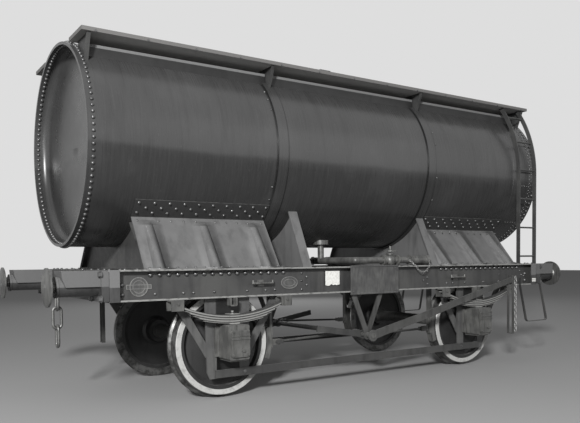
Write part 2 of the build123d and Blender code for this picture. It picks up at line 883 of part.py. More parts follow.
def buffer_head():
    face_x = headstock_x + buffer_reach
    front = face_x - buffer_head_crown
    back = front - buffer_head_thick
    start = headstock_x + buffer_rod_start
    with BuildLine() as profile:
        Polyline((start, 0), (start, buffer_rod_radius), (back - buffer_boss_length / 2, buffer_rod_radius),
                 (back, buffer_boss_radius), (back, buffer_head_radius), (front, buffer_head_radius))
        ThreePointArc((front, buffer_head_radius), crown_middle(front, buffer_head_radius, buffer_head_crown),
                      (face_x, 0))
        Line((face_x, 0), (start, 0))
    return Pos(0, -buffer_y, frame_height) * turned_about_x(profile)


# Drawhook: a shank through a square plate, an eye for the coupling and an upturned nose.
def drawhook():
    thick, width = hook_plate
    plate = Pos(headstock_x + thick / 2, 0, frame_height) * Box(thick, width, width)
    length, across, height = hook_shank
    shank = Pos(headstock_x + length / 2, 0, frame_height) * Box(length, across, height)
    with BuildPart() as hook:
        with BuildSketch(Plane.XZ):
            with Locations((headstock_x + hook_bowl[0], frame_height + hook_bowl[1])):
                Circle(hook_bowl[2])
            with Locations((headstock_x + hook_mouth[0], frame_height + hook_mouth[1])):
                Circle(hook_mouth[2], mode=Mode.SUBTRACT)
                Rectangle(1.3 * hook_mouth[2], 3 * hook_mouth[2], align=(Align.CENTER, Align.MIN),
                          mode=Mode.SUBTRACT)
            with Locations((headstock_x + hook_eye[0], frame_height + hook_eye[1])):
                Circle(hook_eye[2], mode=Mode.SUBTRACT)
        extrude(amount=hook_half_thick, both=True)
    return plate + shank + hook.part


# An oval link of round bar in the Y-Z plane, its upper bend's centre line topping out at the origin.
def chain_link():
    upper = Pos(0, 0, -link_bend) * Rot(0, 90, 0) * Torus(link_bend, link_bar)
    level = Plane.XY.offset(-link_bend)
    bend = split(upper, level, keep=Keep.TOP)
    low = Pos(0, 0, -2 * link_bend - link_straight) * mirror(bend, Plane.XY)
    sides = [rod((0, y, -link_bend), (0, y, -link_bend - link_straight), link_bar)
             for y in (-link_bend, link_bend)]
    return joined([bend, low] + sides)


# Links that hang from the drawhook's eye, each through the one above and square to it.
def coupling():
    link = chain_link()
    inside = link_bend - link_bar
    dip = inside - sqrt(inside ** 2 - hook_half_thick ** 2)
    top = frame_height + hook_eye[1] - hook_eye[2] + touch_gap + link_bar + dip
    pitch = 2 * link_bend + link_straight - 2 * link_bar - touch_gap
    x = headstock_x + hook_eye[0]
    return [Pos(x, 0, top - index * pitch) * Rot(0, 0, 90 * (index % 2)) * link
            for index in range(link_count)]


def buffing_gear():
    guide, head, hook, links = buffer_guide(), buffer_head(), drawhook(), coupling()
    guides = [guide, mirror_y(guide)]
    heads = [head, mirror_y(head)]
    write("buffer_guides", *guides, *[half_turn * g for g in guides])
    write("buffer_heads", *heads, *[half_turn * h for h in heads])
    write("drawhooks", hook, half_turn * hook)
    write("couplings", *links, *[half_turn * link for link in links])


# Running gear

# The axle guard: two legs beside the axlebox, a crown under the solebar and two stays.
def axle_guard():
    y = (-solebar_web_y, -solebar_web_y + guard_plate)
    lap = frame_bottom + guard_lap
    toe_x, toe_z = guard_toe
    pieces = []
    for side in (-1, 1):
        inner, outer = side * guard_leg_inner, side * guard_leg_outer
        pieces.append(along_y([
            (inner, guard_bottom),
            (outer - side * toe_x, guard_bottom),
            (outer, guard_bottom + toe_z),
            (outer + side * guard_flare, lap),
            (inner, lap),
        ], *y))
        top = (side * guard_stay_top_x, frame_bottom)
        foot = (outer - side * guard_flare / 2, guard_stay_foot)
        rise = (top[1] - foot[1]) / (top[0] - foot[0])
        inside = (foot[0] - side * guard_plate, foot[1] - side * guard_plate * rise)
        above = (top[0] + side * guard_lap_end / 2, top[1] + side * guard_lap_end / 2 * rise)
        pieces.append(flat_bar(inside, above, guard_stay_width, guard_stay_width, y))
    crown = block((-guard_leg_inner, guard_leg_inner), y, (box_top + guard_crown_gap, lap))
    pad = block((-guard_stay_top_x - guard_lap_end, guard_stay_top_x + guard_lap_end), y, (frame_bottom, lap))
    return joined(pieces + [crown, pad])


# Axlebox: a cast body with a bolted cover, cheeks that grip the guard's legs and a keep under it.
def axlebox():
    body = block((-box_half_width, box_half_width), (-box_front_y + cover_thick, -box_back_y),
                 (box_bottom + keep_thick, box_top))
    body = fillet(body.edges().filter_by(Axis.Y), box_corner)
    half = box_half_width - cover_inset
    low, high = box_bottom + keep_thick + cover_margins[0], box_top - cover_margins[1]
    cover = block((-half, half), (-box_front_y, -box_front_y + 2 * cover_thick), (low, high))
    pieces = [body, fillet(cover.edges().filter_by(Axis.Y), cover_corner)]
    for down, depth in cover_ridges:
        z = box_top - down
        pieces.append(block((-half, half), (-box_front_y - ridge_proud, -box_front_y), (z, z + depth)))
    plug_x, plug_up, radius, proud = plug
    pieces.append(round_y(plug_x, axle_height + plug_up, -box_front_y - proud, -box_front_y, radius))
    keep_x = box_half_width - keep_inset
    pieces.append(block((-keep_x, keep_x), (-box_front_y + 2 * cover_thick, -box_back_y - keep_inset),
                        (box_bottom, box_bottom + keep_thick + box_corner)))
    front_guide = -solebar_web_y - guide_gap
    back_guide = -solebar_web_y + guard_plate + guide_gap
    z = (box_bottom + keep_thick + box_corner, box_top - box_corner)
    for side in (-1, 1):
        cheek = sorted((side * (box_half_width - guide_gap), side * (guard_leg_inner + cheek_reach)))
        pieces.append(block(cheek, (front_guide - cheek_thick[0], front_guide), z))
        pieces.append(block(cheek, (back_guide, back_guide + cheek_thick[1]), z))
    whole = joined(pieces)
    slot_end = guard_leg_inner - guide_gap
    for side in (-1, 1):
        slot = sorted((side * slot_end, side * 2 * guard_leg_outer))
        whole -= block(slot, (front_guide, back_guide), z)
    journal_end = journal_centre + journal_length / 2 + journal_end_gap
    dust_end = journal_centre - journal_length / 2
    whole -= round_y(0, axle_height, -journal_end, -box_back_y, journal_radius + running_gap)
    return whole - round_y(0, axle_height, -dust_end, -box_back_y, journal_collar_radius + dust_bore)


# Leaf spring on the axlebox. Each leaf is an arc; a narrower core behind the leaves' edges
# leaves a groove between each and the next.
def leaf_spring():
    sag = spring_eye_z - spring_pack_top
    radius = (spring_half_span ** 2 + sag ** 2) / (2 * sag)
    centre_z = spring_eye_z - sag + radius

    def at(r, angle):
        return (r * sin(angle), centre_z - r * cos(angle))

    def leaf(inner, outer, angle, half_width):
        with BuildPart() as strip:
            with BuildSketch(Plane.XZ.offset(journal_centre - half_width)):
                with BuildLine():
                    ThreePointArc(at(inner, -angle), at(inner, 0), at(inner, angle))
                    Line(at(inner, angle), at(outer, angle))
                    ThreePointArc(at(outer, angle), at(outer, 0), at(outer, -angle))
                    Line(at(outer, -angle), at(inner, -angle))
                make_face()
            extrude(amount=2 * half_width)
        return strip.part

    half = spring_width / 2
    pieces = []
    for index in range(spring_leaves):
        reach = spring_half_span - index * spring_leaf_step
        inner = radius + index * spring_leaf
        angle = asin(reach / radius)
        pieces.append(leaf(inner, inner + spring_leaf - spring_groove, angle, half))
        if index < spring_leaves - 1:
            shorter = asin((reach - spring_leaf_step) / radius)
            pieces.append(leaf(inner + spring_leaf / 2, inner + 1.5 * spring_leaf, shorter,
                               half - spring_groove))
    y = (-journal_centre - half - buckle_wall, -journal_centre + half + buckle_wall)
    buckle = block((-buckle_half_length, buckle_half_length), y, (box_top, spring_pack_top + buckle_wall))
    radius, height = buckle_bolt
    bolt = Pos(0, -journal_centre, spring_pack_top + buckle_wall + height / 2) * Cylinder(radius, height)
    eye_xs = (-spring_half_span, spring_half_span)
    eyes = [round_y(x, spring_eye_z, -spring_face_y, -journal_centre + half, spring_eye_radius)
            for x in eye_xs]
    bores = [round_y(x, spring_eye_z, -2 * spring_face_y, 0, spring_pin_radius + touch_gap)
             for x in eye_xs]
    return joined(pieces + [buckle, bolt] + eyes) - joined(bores)


# A shoe under the solebar: two cheeks astride the spring's end, with the pin through its eye.
def spring_shoe(side):
    x = side * spring_half_span
    inside = spring_width / 2 + shoe_room
    outside = inside + shoe_cheek
    middle = -journal_centre
    base = block((x - shoe_length / 2, x + shoe_length / 2), (middle - outside, middle + outside),
                 (frame_bottom - shoe_base, frame_bottom))
    low = frame_bottom - shoe_drop
    outline_points = [
        (x - shoe_length / 2, frame_bottom - shoe_base),
        (x + shoe_length / 2, frame_bottom - shoe_base),
        (x + shoe_toe, low),
        (x - shoe_toe, low),
    ]
    cheeks = [along_y(outline_points, middle - outside, middle - inside),
              along_y(outline_points, middle + inside, middle + outside)]
    pin = round_y(x, spring_eye_z, middle - outside - shoe_base, middle + outside, spring_pin_radius)
    return joined([base, pin] + cheeks)


# The stop over each axlebox: a bar bent to a U, its ends under the solebar.
def bump_stop_solid():
    length, width, thick = bump_stop
    x, y = length / 2, width / 2
    low = frame_bottom - bump_stop_drop
    bar = block((-x, x), (-journal_centre - y, -journal_centre + y), (low, frame_bottom))
    room = block((-x + thick, x - thick), (-journal_centre - y, -journal_centre + y),
                 (low + thick, frame_bottom))
    lower = bar.edges().filter_by(Axis.Y).sort_by(Axis.Z)[:2]
    return fillet(lower, thick) - room


def running_gear():
    guard, box, spring = axle_guard(), axlebox(), leaf_spring()
    places = (Pos(-axle_x, 0, 0), Pos(axle_x, 0, 0))
    for name, piece in (("axle_guards", guard), ("axleboxes", box), ("springs", spring)):
        write(f"{name}_near", *[place * piece for place in places])
        write(f"{name}_far", *[half_turn * place * piece for place in places])
    hung = [spring_shoe(-1), spring_shoe(1), bump_stop_solid()]
    shoes = [place * shape for place in places for shape in hung]
    write("spring_shoes", *shoes, *[half_turn * shoe for shoe in shoes])
    end = axle_x + tie_bar_overrun
    bar = block((-end, end), (-solebar_web_y - tie_bar_thick, -solebar_web_y),
                (tie_bar_bottom, tie_bar_bottom + tie_bar_depth))
    write("tie_bars", bar, half_turn * bar)


# Brake gear, worked from either side

def shaft_bore():
    return round_y(0, brake_shaft_z, -2 * lever_y, 2 * lever_y, brake_shaft_radius + touch_gap)


# The V-shaped hanger under the solebar that carries the end of the brake shaft.
def brake_hanger():
    y = (-solebar_half_width + hanger_set_in, -solebar_half_width + hanger_set_in + hanger_thick)
    legs = [flat_bar((side * hanger_spread, frame_bottom), (0, brake_shaft_z), hanger_bar, hanger_bar, y)
            for side in (-1, 1)]
    boss = round_y(0, brake_shaft_z, *y, hanger_boss)
    above = block((-2 * hanger_spread, 2 * hanger_spread), y, (frame_bottom, frame_top))
    half = hanger_bar * 0.7
    tabs = [block((side * hanger_spread - half, side * hanger_spread + half), (y[0], y[0] + hanger_tab),
                  (frame_bottom - hanger_thick, frame_bottom)) for side in (-1, 1)]
    return joined([joined(legs + [boss]) - above] + tabs) - shaft_bore()


# The hand lever, seen from the side a straight bar, set out from its boss to clear the springs.
def brake_lever():
    end = (lever_end_x + lever_overrun, lever_end_z + lever_end_rise)
    side_view = flat_bar((0, brake_shaft_z), end, lever_root_depth, lever_end_depth, (-2 * lever_y, 0))
    half = lever_thick / 2
    bend_start, bend_end = lever_joggle
    route = [(-lever_boss, lever_root_y), (bend_start, lever_root_y), (bend_end, lever_y),
             (2 * end[0], lever_y)]
    front = [(x, -y - half) for x, y in route]
    back = [(x, -y + half) for x, y in reversed(route)]
    plan_view = extrude(Plane.XY * outline(front + back), 2 * lever_end_z)
    arm = side_view & plan_view
    boss = round_y(0, brake_shaft_z, -lever_root_y - half, -lever_root_y + half, lever_boss)
    return arm + boss - shaft_bore()


# Two upright bars that the lever moves between, closed at both ends and held off the solebar.
def lever_guard():
    x = (lever_guard_x - lever_guard_width / 2, lever_guard_x + lever_guard_width / 2)
    behind, before = lever_guard_room
    t = lever_guard_thick
    back = -lever_y + lever_thick / 2 + behind
    front = -lever_y - lever_thick / 2 - before
    low, high = lever_guard_bottom, lever_guard_top
    pieces = [block(x, (back, back + t), (low, high)), block(x, (front - t, front), (low, high))]
    for z in ((low, low + t), (high - t, high)):
        pieces.append(block(x, (front - t, back + t), z))
    arm = (frame_bottom + t, frame_bottom + t + lever_guard_arm)
    pieces.append(block(x, (back, -solebar_half_width), arm))
    return joined(pieces)


# A double crank on the shaft in line with the tyres, its left pin above its right one.
def crank_pin(side):
    angle = radians(crank_tilt)
    return (side * crank_half_length * cos(angle), brake_shaft_z - side * crank_half_length * sin(angle))


def crank():
    middle = -(block_y[0] + block_y[1]) / 2
    y = (middle - crank_thick / 2, middle + crank_thick / 2)
    bar = flat_bar(crank_pin(-1), crank_pin(1), crank_depth, crank_depth, y)
    ends = [round_y(*crank_pin(side), *y, crank_depth / 2) for side in (-1, 1)]
    boss = round_y(0, brake_shaft_z, y[0] - crank_thick, y[1] + crank_thick, hanger_boss)
    bores = [round_y(*crank_pin(side), *y, rod_pin_radius + touch_gap) for side in (-1, 1)]
    return joined([bar, boss] + ends) - shaft_bore() - joined(bores)


# A long arm on the shaft, just behind the V hanger.
def cross_arm_solid():
    y = (-cross_arm_y - cross_arm_thick / 2, -cross_arm_y + cross_arm_thick / 2)
    arm = flat_bar((0, brake_shaft_z), cross_arm, cross_arm_depth, cross_arm_depth, y)
    return arm + round_y(0, brake_shaft_z, *y, hanger_boss) - shaft_bore()


# The pin through a block's lug and its push rod's fork.
def block_pin(side):
    outer = tread_radius + block_release + block_thick
    return (side * (axle_x - outer - 1.4 * block_hanger[1]), block_z)


# A cast block beside the tread, on a hanger from a bracket on the back of the axle guard.
def brake_block(side):
    inner = tread_radius + block_release
    outer = inner + block_thick
    middle_y = (block_y[0] + block_y[1]) / 2
    wheel_x = side * axle_x
    tilt = asin((block_z - axle_height) / inner)
    spread = radians(block_half_angle)

    def at(radius, angle):
        return (wheel_x - side * radius * cos(angle), axle_height + radius * sin(angle))

    with BuildPart() as shoe:
        with BuildSketch(Plane.XZ.offset(block_y[0])):
            with BuildLine():
                low, high = tilt - spread, tilt + spread
                ThreePointArc(at(inner, low), at(inner, tilt), at(inner, high))
                Line(at(inner, high), at(outer, high))
                ThreePointArc(at(outer, high), at(outer, tilt), at(outer, low))
                Line(at(outer, low), at(inner, low))
            make_face()
        extrude(amount=block_y[1] - block_y[0])
    thick, width = block_hanger
    back_x = side * (axle_x - outer)
    x = sorted((back_x + side * thick, back_x - side * thick))
    y = (-middle_y - width / 2, -middle_y + width / 2)
    hanger = block(x, y, (block_z - width, frame_bottom))
    bracket = block(x, (-solebar_web_y + guard_plate, -middle_y + width / 2),
                    (frame_bottom, frame_bottom + width))
    lug = block(sorted((back_x, back_x - side * 2 * width)), (-middle_y - thick, -middle_y + thick),
                (block_z - width / 2, block_z + width / 2))
    eye = round_y(*block_pin(side), -block_y[1], -block_y[0], rod_pin_radius + touch_gap)
    return joined([shoe.part, hanger, bracket, lug]) - eye


# A round rod with forked ends, from a block's lug to the crank.
def push_rod(side):
    thick, width = block_hanger
    middle_y = (block_y[0] + block_y[1]) / 2
    start_pin, end_pin = block_pin(side), crank_pin(side)
    fork_reach = 2.4 * rod_pin_radius
    pieces = []
    line = (end_pin[0] - start_pin[0], end_pin[1] - start_pin[1])
    length = sqrt(line[0] ** 2 + line[1] ** 2)
    along = (line[0] / length, line[1] / length)
    heads = []
    for point, way, half in ((start_pin, 1, thick), (end_pin, -1, crank_thick / 2)):
        side_y = half + touch_gap
        shoulder = (point[0] + way * along[0] * (fork_reach + width / 2),
                    point[1] + way * along[1] * (fork_reach + width / 2))
        for cheek in ((-middle_y - side_y - thick, -middle_y - side_y),
                      (-middle_y + side_y, -middle_y + side_y + thick)):
            pieces.append(flat_bar(point, shoulder, 3 * rod_pin_radius, 3 * rod_pin_radius, cheek))
            pieces.append(round_y(*point, *cheek, 1.5 * rod_pin_radius))
        neck = (shoulder[0] - way * along[0] * thick, shoulder[1] - way * along[1] * thick)
        pieces.append(flat_bar(neck, shoulder, 3 * rod_pin_radius, 3 * rod_pin_radius,
                               (-middle_y - side_y - thick, -middle_y + side_y + thick)))
        pieces.append(round_y(*point, -middle_y - side_y - thick, -middle_y + side_y + thick, rod_pin_radius))
        heads.append(shoulder)
    start, end = heads
    pieces.append(rod((start[0], -middle_y, start[1]), (end[0], -middle_y, end[1]), push_rod_radius))
    return joined(pieces)


def brake_gear():
    hanger, lever, guard = brake_hanger(), brake_lever(), lever_guard()
    write("brake_hangers", hanger, half_turn * hanger)
    reach = lever_root_y + lever_thick
    shaft = round_y(0, brake_shaft_z, -reach, reach, brake_shaft_radius)
    write("brake_shaft", shaft)
    write("brake_levers", lever, half_turn * lever)
    write("lever_guards", guard, half_turn * guard)
    cranks, arm = crank(), cross_arm_solid()
    write("brake_cranks", cranks, half_turn * cranks, arm, half_turn * arm)
    blocks = [brake_block(-1), brake_block(1)]
    rods = [push_rod(-1), push_rod(1)]
    write("brake_blocks", *blocks, *[half_turn * shape for shape in blocks])
    write("push_rods", *rods, *[half_turn * shape for shape in rods])


# Ladder, step, outlet, plates

# Two flat stiles, upright to the tank's axis and then bent over to the planks, with round rungs.
def ladder():
    foot = frame_top
    rise = walk_under - tank_axis
    set_in = ladder_y - (walk_outer_y - ladder_top_inset)
    arc = (rise * rise + set_in * set_in) / (2 * set_in)
    centre_y = arc - ladder_y
    inner, outer = arc - ladder_bar / 2, arc + ladder_bar / 2

    def at(radius, angle):
        return (centre_y - radius * cos(angle), tank_axis + radius * sin(angle))

    angle_in, angle_out = asin(rise / inner), asin(rise / outer)
    with BuildPart() as stile:
        with BuildSketch(Plane.YZ):
            with BuildLine():
                Line((centre_y - outer, foot), at(outer, 0))
                ThreePointArc(at(outer, 0), at(outer, angle_out / 2), at(outer, angle_out))
                Line(at(outer, angle_out), at(inner, angle_in))
                ThreePointArc(at(inner, angle_in), at(inner, angle_in / 2), at(inner, 0))
                Polyline(at(inner, 0), (centre_y - inner, foot), (centre_y - outer, foot))
            make_face()
        extrude(amount=ladder_bar_thick)
    half = ladder_bar_thick / 2
    pieces = [Pos(x - half, 0, 0) * stile.part for x in ladder_x]
    lap = solebar_half_width - ladder_foot_lap
    y = (-max(ladder_y + ladder_bar / 2, lap), -min(ladder_y - ladder_bar / 2, lap))
    pieces += [block((x - half, x + half), y, (foot, foot + ladder_foot_thick)) for x in ladder_x]
    length = tank_axis - foot + arc * asin(rise / arc)
    for index in range(int((length - ladder_first_rung) / ladder_pitch) + 1):
        along = foot + ladder_first_rung + index * ladder_pitch
        bent = max(0, along - tank_axis) / arc
        y, z = at(arc, bent) if bent else (-ladder_y, along)
        pieces.append(round_x(y, z, *ladder_x, rung_radius))
    return joined(pieces)


# A stirrup of flat bar, bent out below the solebar and across under both its legs.
def step():
    top = frame_bottom + step_lap
    t = step_bar_thick
    low = frame_bottom - step_drop
    y = -solebar_half_width
    left, right = step_x[0] - t / 2, step_x[1] + t / 2
    slab = along_x([(y, top), (y - step_bar, top), (y - step_bar, frame_bottom),
                    (y - step_bar - step_lean, low), (y - step_lean, low), (y, frame_bottom)], left, right)
    hoop = block((left, right), (2 * y, 0), (low, top + step_corner))
    corners = hoop.edges().filter_by(Axis.Y).sort_by(Axis.Z)[:2]
    hoop = fillet(corners, step_corner)
    room = block((left + t, right - t), (2 * y, 0), (low + t, top + step_corner))
    corners = room.edges().filter_by(Axis.Y).sort_by(Axis.Z)[:2]
    room = fillet(corners, step_corner - t)
    return slab & (hoop - room)


# The outlet: a pipe from the barrel's underside out to the side, a valve, and a capped sleeve.
def outlet():
    z, y = outlet_z, -outlet_y
    pad_radius, pad_thick = outlet_pad
    barrel_z = tank_axis - sqrt(barrel_seat ** 2 - outlet_drop_y ** 2)
    r = outlet_pipe_radius
    down = rod((outlet_x, -outlet_drop_y, z), (outlet_x, -outlet_drop_y, barrel_z + pad_radius), r)
    pad = Pos(outlet_x, -outlet_drop_y, barrel_z) * Cylinder(pad_radius, 2 * pad_thick)
    elbows = [Pos(outlet_x, elbow_y, z) * Sphere(r) for elbow_y in (-outlet_drop_y, y)]
    across = round_y(outlet_x, z, y, -outlet_drop_y, r)
    sleeve_start, sleeve_end, sleeve_radius = outlet_sleeve
    cap_start, cap_end, cap_radius = outlet_cap
    run = round_x(y, z, outlet_x, sleeve_end, r)
    body = Pos(valve_x, y, z) * Sphere(valve_radius)
    body -= block((valve_x - valve_radius, valve_x + valve_radius), (y - valve_radius, y + valve_radius),
                  (0, frame_top + touch_gap))
    flanges = [round_x(y, z, x, x + outlet_flange_thick, outlet_flange_radius)
               for x in (valve_x - 1.8 * valve_radius,
                         valve_x - 1.8 * valve_radius + 1.2 * outlet_flange_thick,
                         valve_x + 1.4 * valve_radius, sleeve_start - outlet_flange_thick)]
    sleeve = round_x(y, z, sleeve_start, sleeve_end, sleeve_radius)
    cap = round_x(y, z, cap_start, cap_end, cap_radius)
    neck_radius, neck_top = valve_neck
    ring_radius, ring_thick = valve_ring
    neck = Pos(valve_x, y, z + neck_top / 2) * Cylinder(neck_radius, neck_top)
    ring = Pos(valve_x, y, z + neck_top - ring_thick / 2) * Cylinder(ring_radius, ring_thick)
    spindle = Pos(valve_x, y, z + spindle_length / 2) * Cylinder(spindle_radius, spindle_length)
    pieces = [down, pad, across, run, body, sleeve, cap, neck, ring, spindle] + elbows + flanges
    return joined(pieces) - barrel_bed(barrel_seat, -headstock_x, headstock_x)


def outlet_wheel():
    place = Pos(valve_x, -outlet_y, outlet_z + wheel_hand_z)
    rim = Cylinder(wheel_hand_radius + wheel_hand_rim, wheel_hand_rim)
    rim -= Cylinder(wheel_hand_radius, wheel_hand_rim)
    hub = Cylinder(2 * spindle_radius, 2 * wheel_hand_rim)
    span = 2 * wheel_hand_radius + wheel_hand_rim
    spokes = [Rot(0, 0, angle) * Box(span, wheel_hand_rim, wheel_hand_rim / 2) for angle in (0, 60, 120)]
    return place * (joined([rim, hub] + spokes) - Cylinder(spindle_radius + touch_gap, 4 * wheel_hand_rim))


# Blank plates: a round one with a bar across it and an oval one.
def register_plates():
    x, z, radius = round_plate
    width, height, proud = round_plate_bar
    face = -web_face_y
    disc = round_y(x, z, face - plate_thick, face, radius)
    bar = block((x - width / 2, x + width / 2), (face - proud, face), (z - height / 2, z + height / 2))
    x, z, half_width, half_height = oval_plate
    oval = Pos(0, face, 0) * extrude(Plane.XZ * Pos(x, z) * Ellipse(half_width, half_height), plate_thick)
    return [disc + bar, oval]


# A shallow tray with a lip along both sides and its foot, which holds a paper label.
def label_clip():
    face = -web_face_y
    (left, right), (low, high) = label_clip_x, label_clip_z
    lip = label_clip_lip
    tray = block((left, right), (face - lip, face), (low, high))
    room = block((left + lip / 2, right - lip / 2), (face - lip, face - plate_thick), (low + lip / 2, high))
    return tray - room


# A hook for a hauling rope: a bar along the web between a pad and an upturned end.
def horse_hook_solid(x):
    half, radius, proud = horse_hook
    width, height, thick = horse_hook_pad
    face = -web_face_y
    z = horse_hook_z
    pad = block((x - width / 2, x + width / 2), (face - thick, face), (z - height / 2, z + height / 2))
    arm = round_y(x, z, face - proud, face, radius)
    bar = round_x(face - proud, z, x - half, x + half, radius)
    tips = [rod((x + side * half, face - proud, z), (x + side * half, face - proud, z + 2.6 * radius), radius)
            for side in (-1, 1)]
    corners = [Pos(x + side * half, face - proud, z) * Sphere(radius) for side in (-1, 1)]
    return joined([pad, arm, bar] + tips + corners)


def small_pieces():
    rungs, foot = ladder(), step()
    write("ladders", rungs, mirror_y(rungs))
    write("steps", foot, mirror_y(foot))
    pipe, wheel = outlet(), outlet_wheel()
    write("outlets", pipe, mirror_y(pipe))
    write("outlet_wheels", wheel, mirror_y(wheel))
    face = -solebar_half_width
    notice = block(notice_x, (face - plate_thick, face), notice_z)
    write("notice_plates", notice)
    write("register_plates", *register_plates())
    write("label_clips", label_clip())
    hooks = [horse_hook_solid(x) for x in horse_hook_xs]
    write("horse_hooks", *hooks, *[half_turn * hook for hook in hooks])


wheelsets()
underframe()
tank()
filler_and_lid()
tank_supports()
walkways()
buffing_gear()
running_gear()
brake_gear()
small_pieces()
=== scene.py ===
from functools import partial
import json
from math import cos, pi, radians, sin

import bpy
from mathutils import Matrix, Vector, noise as swells


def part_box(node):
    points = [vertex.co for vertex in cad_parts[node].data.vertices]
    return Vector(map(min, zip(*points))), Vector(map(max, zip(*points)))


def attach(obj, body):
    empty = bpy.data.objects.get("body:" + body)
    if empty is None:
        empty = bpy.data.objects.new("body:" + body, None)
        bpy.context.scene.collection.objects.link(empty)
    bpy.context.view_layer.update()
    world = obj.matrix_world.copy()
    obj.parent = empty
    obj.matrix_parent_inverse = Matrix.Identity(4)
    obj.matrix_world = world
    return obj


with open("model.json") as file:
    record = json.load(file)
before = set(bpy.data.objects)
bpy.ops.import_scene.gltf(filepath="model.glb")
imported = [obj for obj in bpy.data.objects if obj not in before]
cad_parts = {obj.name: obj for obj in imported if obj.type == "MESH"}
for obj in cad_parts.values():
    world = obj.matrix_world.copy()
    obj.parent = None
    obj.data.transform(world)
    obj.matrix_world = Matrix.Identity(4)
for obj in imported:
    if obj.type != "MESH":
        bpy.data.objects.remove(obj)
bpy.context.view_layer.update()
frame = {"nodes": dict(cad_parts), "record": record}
nodes = frame["nodes"]
print("frame loaded")

# Sizes of the car that the dressing follows, in metres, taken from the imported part.
barrelLow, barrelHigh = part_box("tank_barrel")
solebarLow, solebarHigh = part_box("solebar_near")
axleLow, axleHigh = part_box("axle_right")
strapWidth = 0.112
car = {
    "tankAxis": (barrelLow.z + barrelHigh.z) / 2,
    "tankRadius": (barrelHigh.z - barrelLow.z) / 2,
    "strapX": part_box("tank_straps")[1].x - strapWidth / 2,
    "frameTop": solebarHigh.z,
    "frameBottom": solebarLow.z,
    "solebarWeb": -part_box("register_plates")[1].y,
    "axleX": (axleLow.x + axleHigh.x) / 2,
    "axleHeight": (axleLow.z + axleHigh.z) / 2,
}


# The colour of an sRGB hex value in the linear light that the shaders work in.
def toLinear(hexColour):
    channels = [int(hexColour[i:i + 2], 16) / 255 for i in (1, 3, 5)]
    return tuple(c / 12.92 if c <= 0.04045 else ((c + 0.055) / 1.055) ** 2.4 for c in channels) + (1.0,)


# Adds a node with its settings. Its inputs are named in a dictionary or listed in the node's own order. Each
# is a value, a socket, a node that stands for its first output in use, or a list for an input of many links.
def addNode(tree, kind, inputs=(), **settings):
    node = tree.nodes.new(kind)
    for name, value in settings.items():
        setattr(node, name, value)
    for key, given in inputs.items() if isinstance(inputs, dict) else enumerate(inputs):
        for value in given if isinstance(given, list) else [given]:
            if isinstance(value, bpy.types.Node):
                value = next(output for output in value.outputs if output.enabled)
            if isinstance(value, bpy.types.NodeSocket):
                tree.links.new(value, node.inputs[key])
            else:
                node.inputs[key].default_value = value
    return node


# A new material, the function that adds a node to it, and the place on the piece that its patterns follow.
def newFinish(name):
    finish = bpy.data.materials.new(name)
    finish.use_nodes = True
    finish.node_tree.nodes.clear()
    add = partial(addNode, finish.node_tree)
    return finish, add, add("ShaderNodeTexCoord").outputs["Object"]


# Ends a material with the shader of its surface.
def finished(finish, add, surface):
    add("ShaderNodeOutputMaterial", {"Surface": add("ShaderNodeBsdfPrincipled", surface)})
    return finish


# A cloudy pattern with one swell every so many millimetres, drawn out where it is stretched.
def clouds(add, place, millimetres, detail=3.0, rough=0.55, stretch=(1.0, 1.0, 1.0)):
    laid = add("ShaderNodeMapping", {"Vector": place, "Scale": stretch})
    return add("ShaderNodeTexNoise", {"Vector": laid, "Scale": 1000.0 / millimetres, "Detail": detail,
                                      "Roughness": rough})


# A colour laid over what is there, as thick as a mask and a share of it allow.
def coat(add, base, colour, mask, share=1.0):
    amount = add("ShaderNodeMath", [mask, share], operation="MULTIPLY")
    return add("ShaderNodeMix", {0: amount, 6: base, 7: toLinear(colour)}, data_type="RGBA")


# How far a measure is from the nearer of two like places, one on each side of zero.
def fromNearer(add, measure, middle):
    size = add("ShaderNodeMath", [measure], operation="ABSOLUTE")
    apart = add("ShaderNodeMath", [size, middle], operation="SUBTRACT")
    return add("ShaderNodeMath", [apart], operation="ABSOLUTE")


# How far a point is, seen from the side, from the nearer of two centres over the axles.
def fromCentre(add, place, height):
    x, y, z = add("ShaderNodeSeparateXYZ", [place]).outputs
    up = add("ShaderNodeMath", [z, height], operation="SUBTRACT")
    apart = add("ShaderNodeCombineXYZ", [fromNearer(add, x, car["axleX"]), up])
    return add("ShaderNodeVectorMath", [apart], operation="LENGTH")


# How far a measure is from the middle of its step, from 0 in the middle to 0.5 at the step's ends.
def fromStepMiddle(add, measure, start, step):
    depth = add("ShaderNodeMath", [measure, start], operation="SUBTRACT")
    steps = add("ShaderNodeMath", [depth, step], operation="DIVIDE")
    share = add("ShaderNodeMath", [steps], operation="FRACT")
    return fromNearer(add, share, 0.5)


# How far the surface faces up: 1 on a level top, 0 on an upright face and -1 underneath.
def facingUp(add):
    normal = add("ShaderNodeNewGeometry").outputs["Normal"]
    return add("ShaderNodeSeparateXYZ", [normal]).outputs[2]


# A colour laid over the paint above a height, lighter or darker than below it, as painted light where the
# light falls and painted shade where it misses. The two heights are for the plates whose x and y have one
# sign and for the others.
def toneAbove(heights, share, colour):
    def lay(add, place, base):
        x, y, z = add("ShaderNodeSeparateXYZ", [place]).outputs
        product = add("ShaderNodeMath", [x, y], operation="MULTIPLY")
        sameSign = add("ShaderNodeMath", [product, 0.0], operation="GREATER_THAN")
        edge = add("ShaderNodeMath", [sameSign, heights[0] - heights[1], heights[1]],
                   operation="MULTIPLY_ADD")
        upper = add("ShaderNodeMath", [z, edge], operation="GREATER_THAN")
        return coat(add, base, colour, upper, share)
    return lay
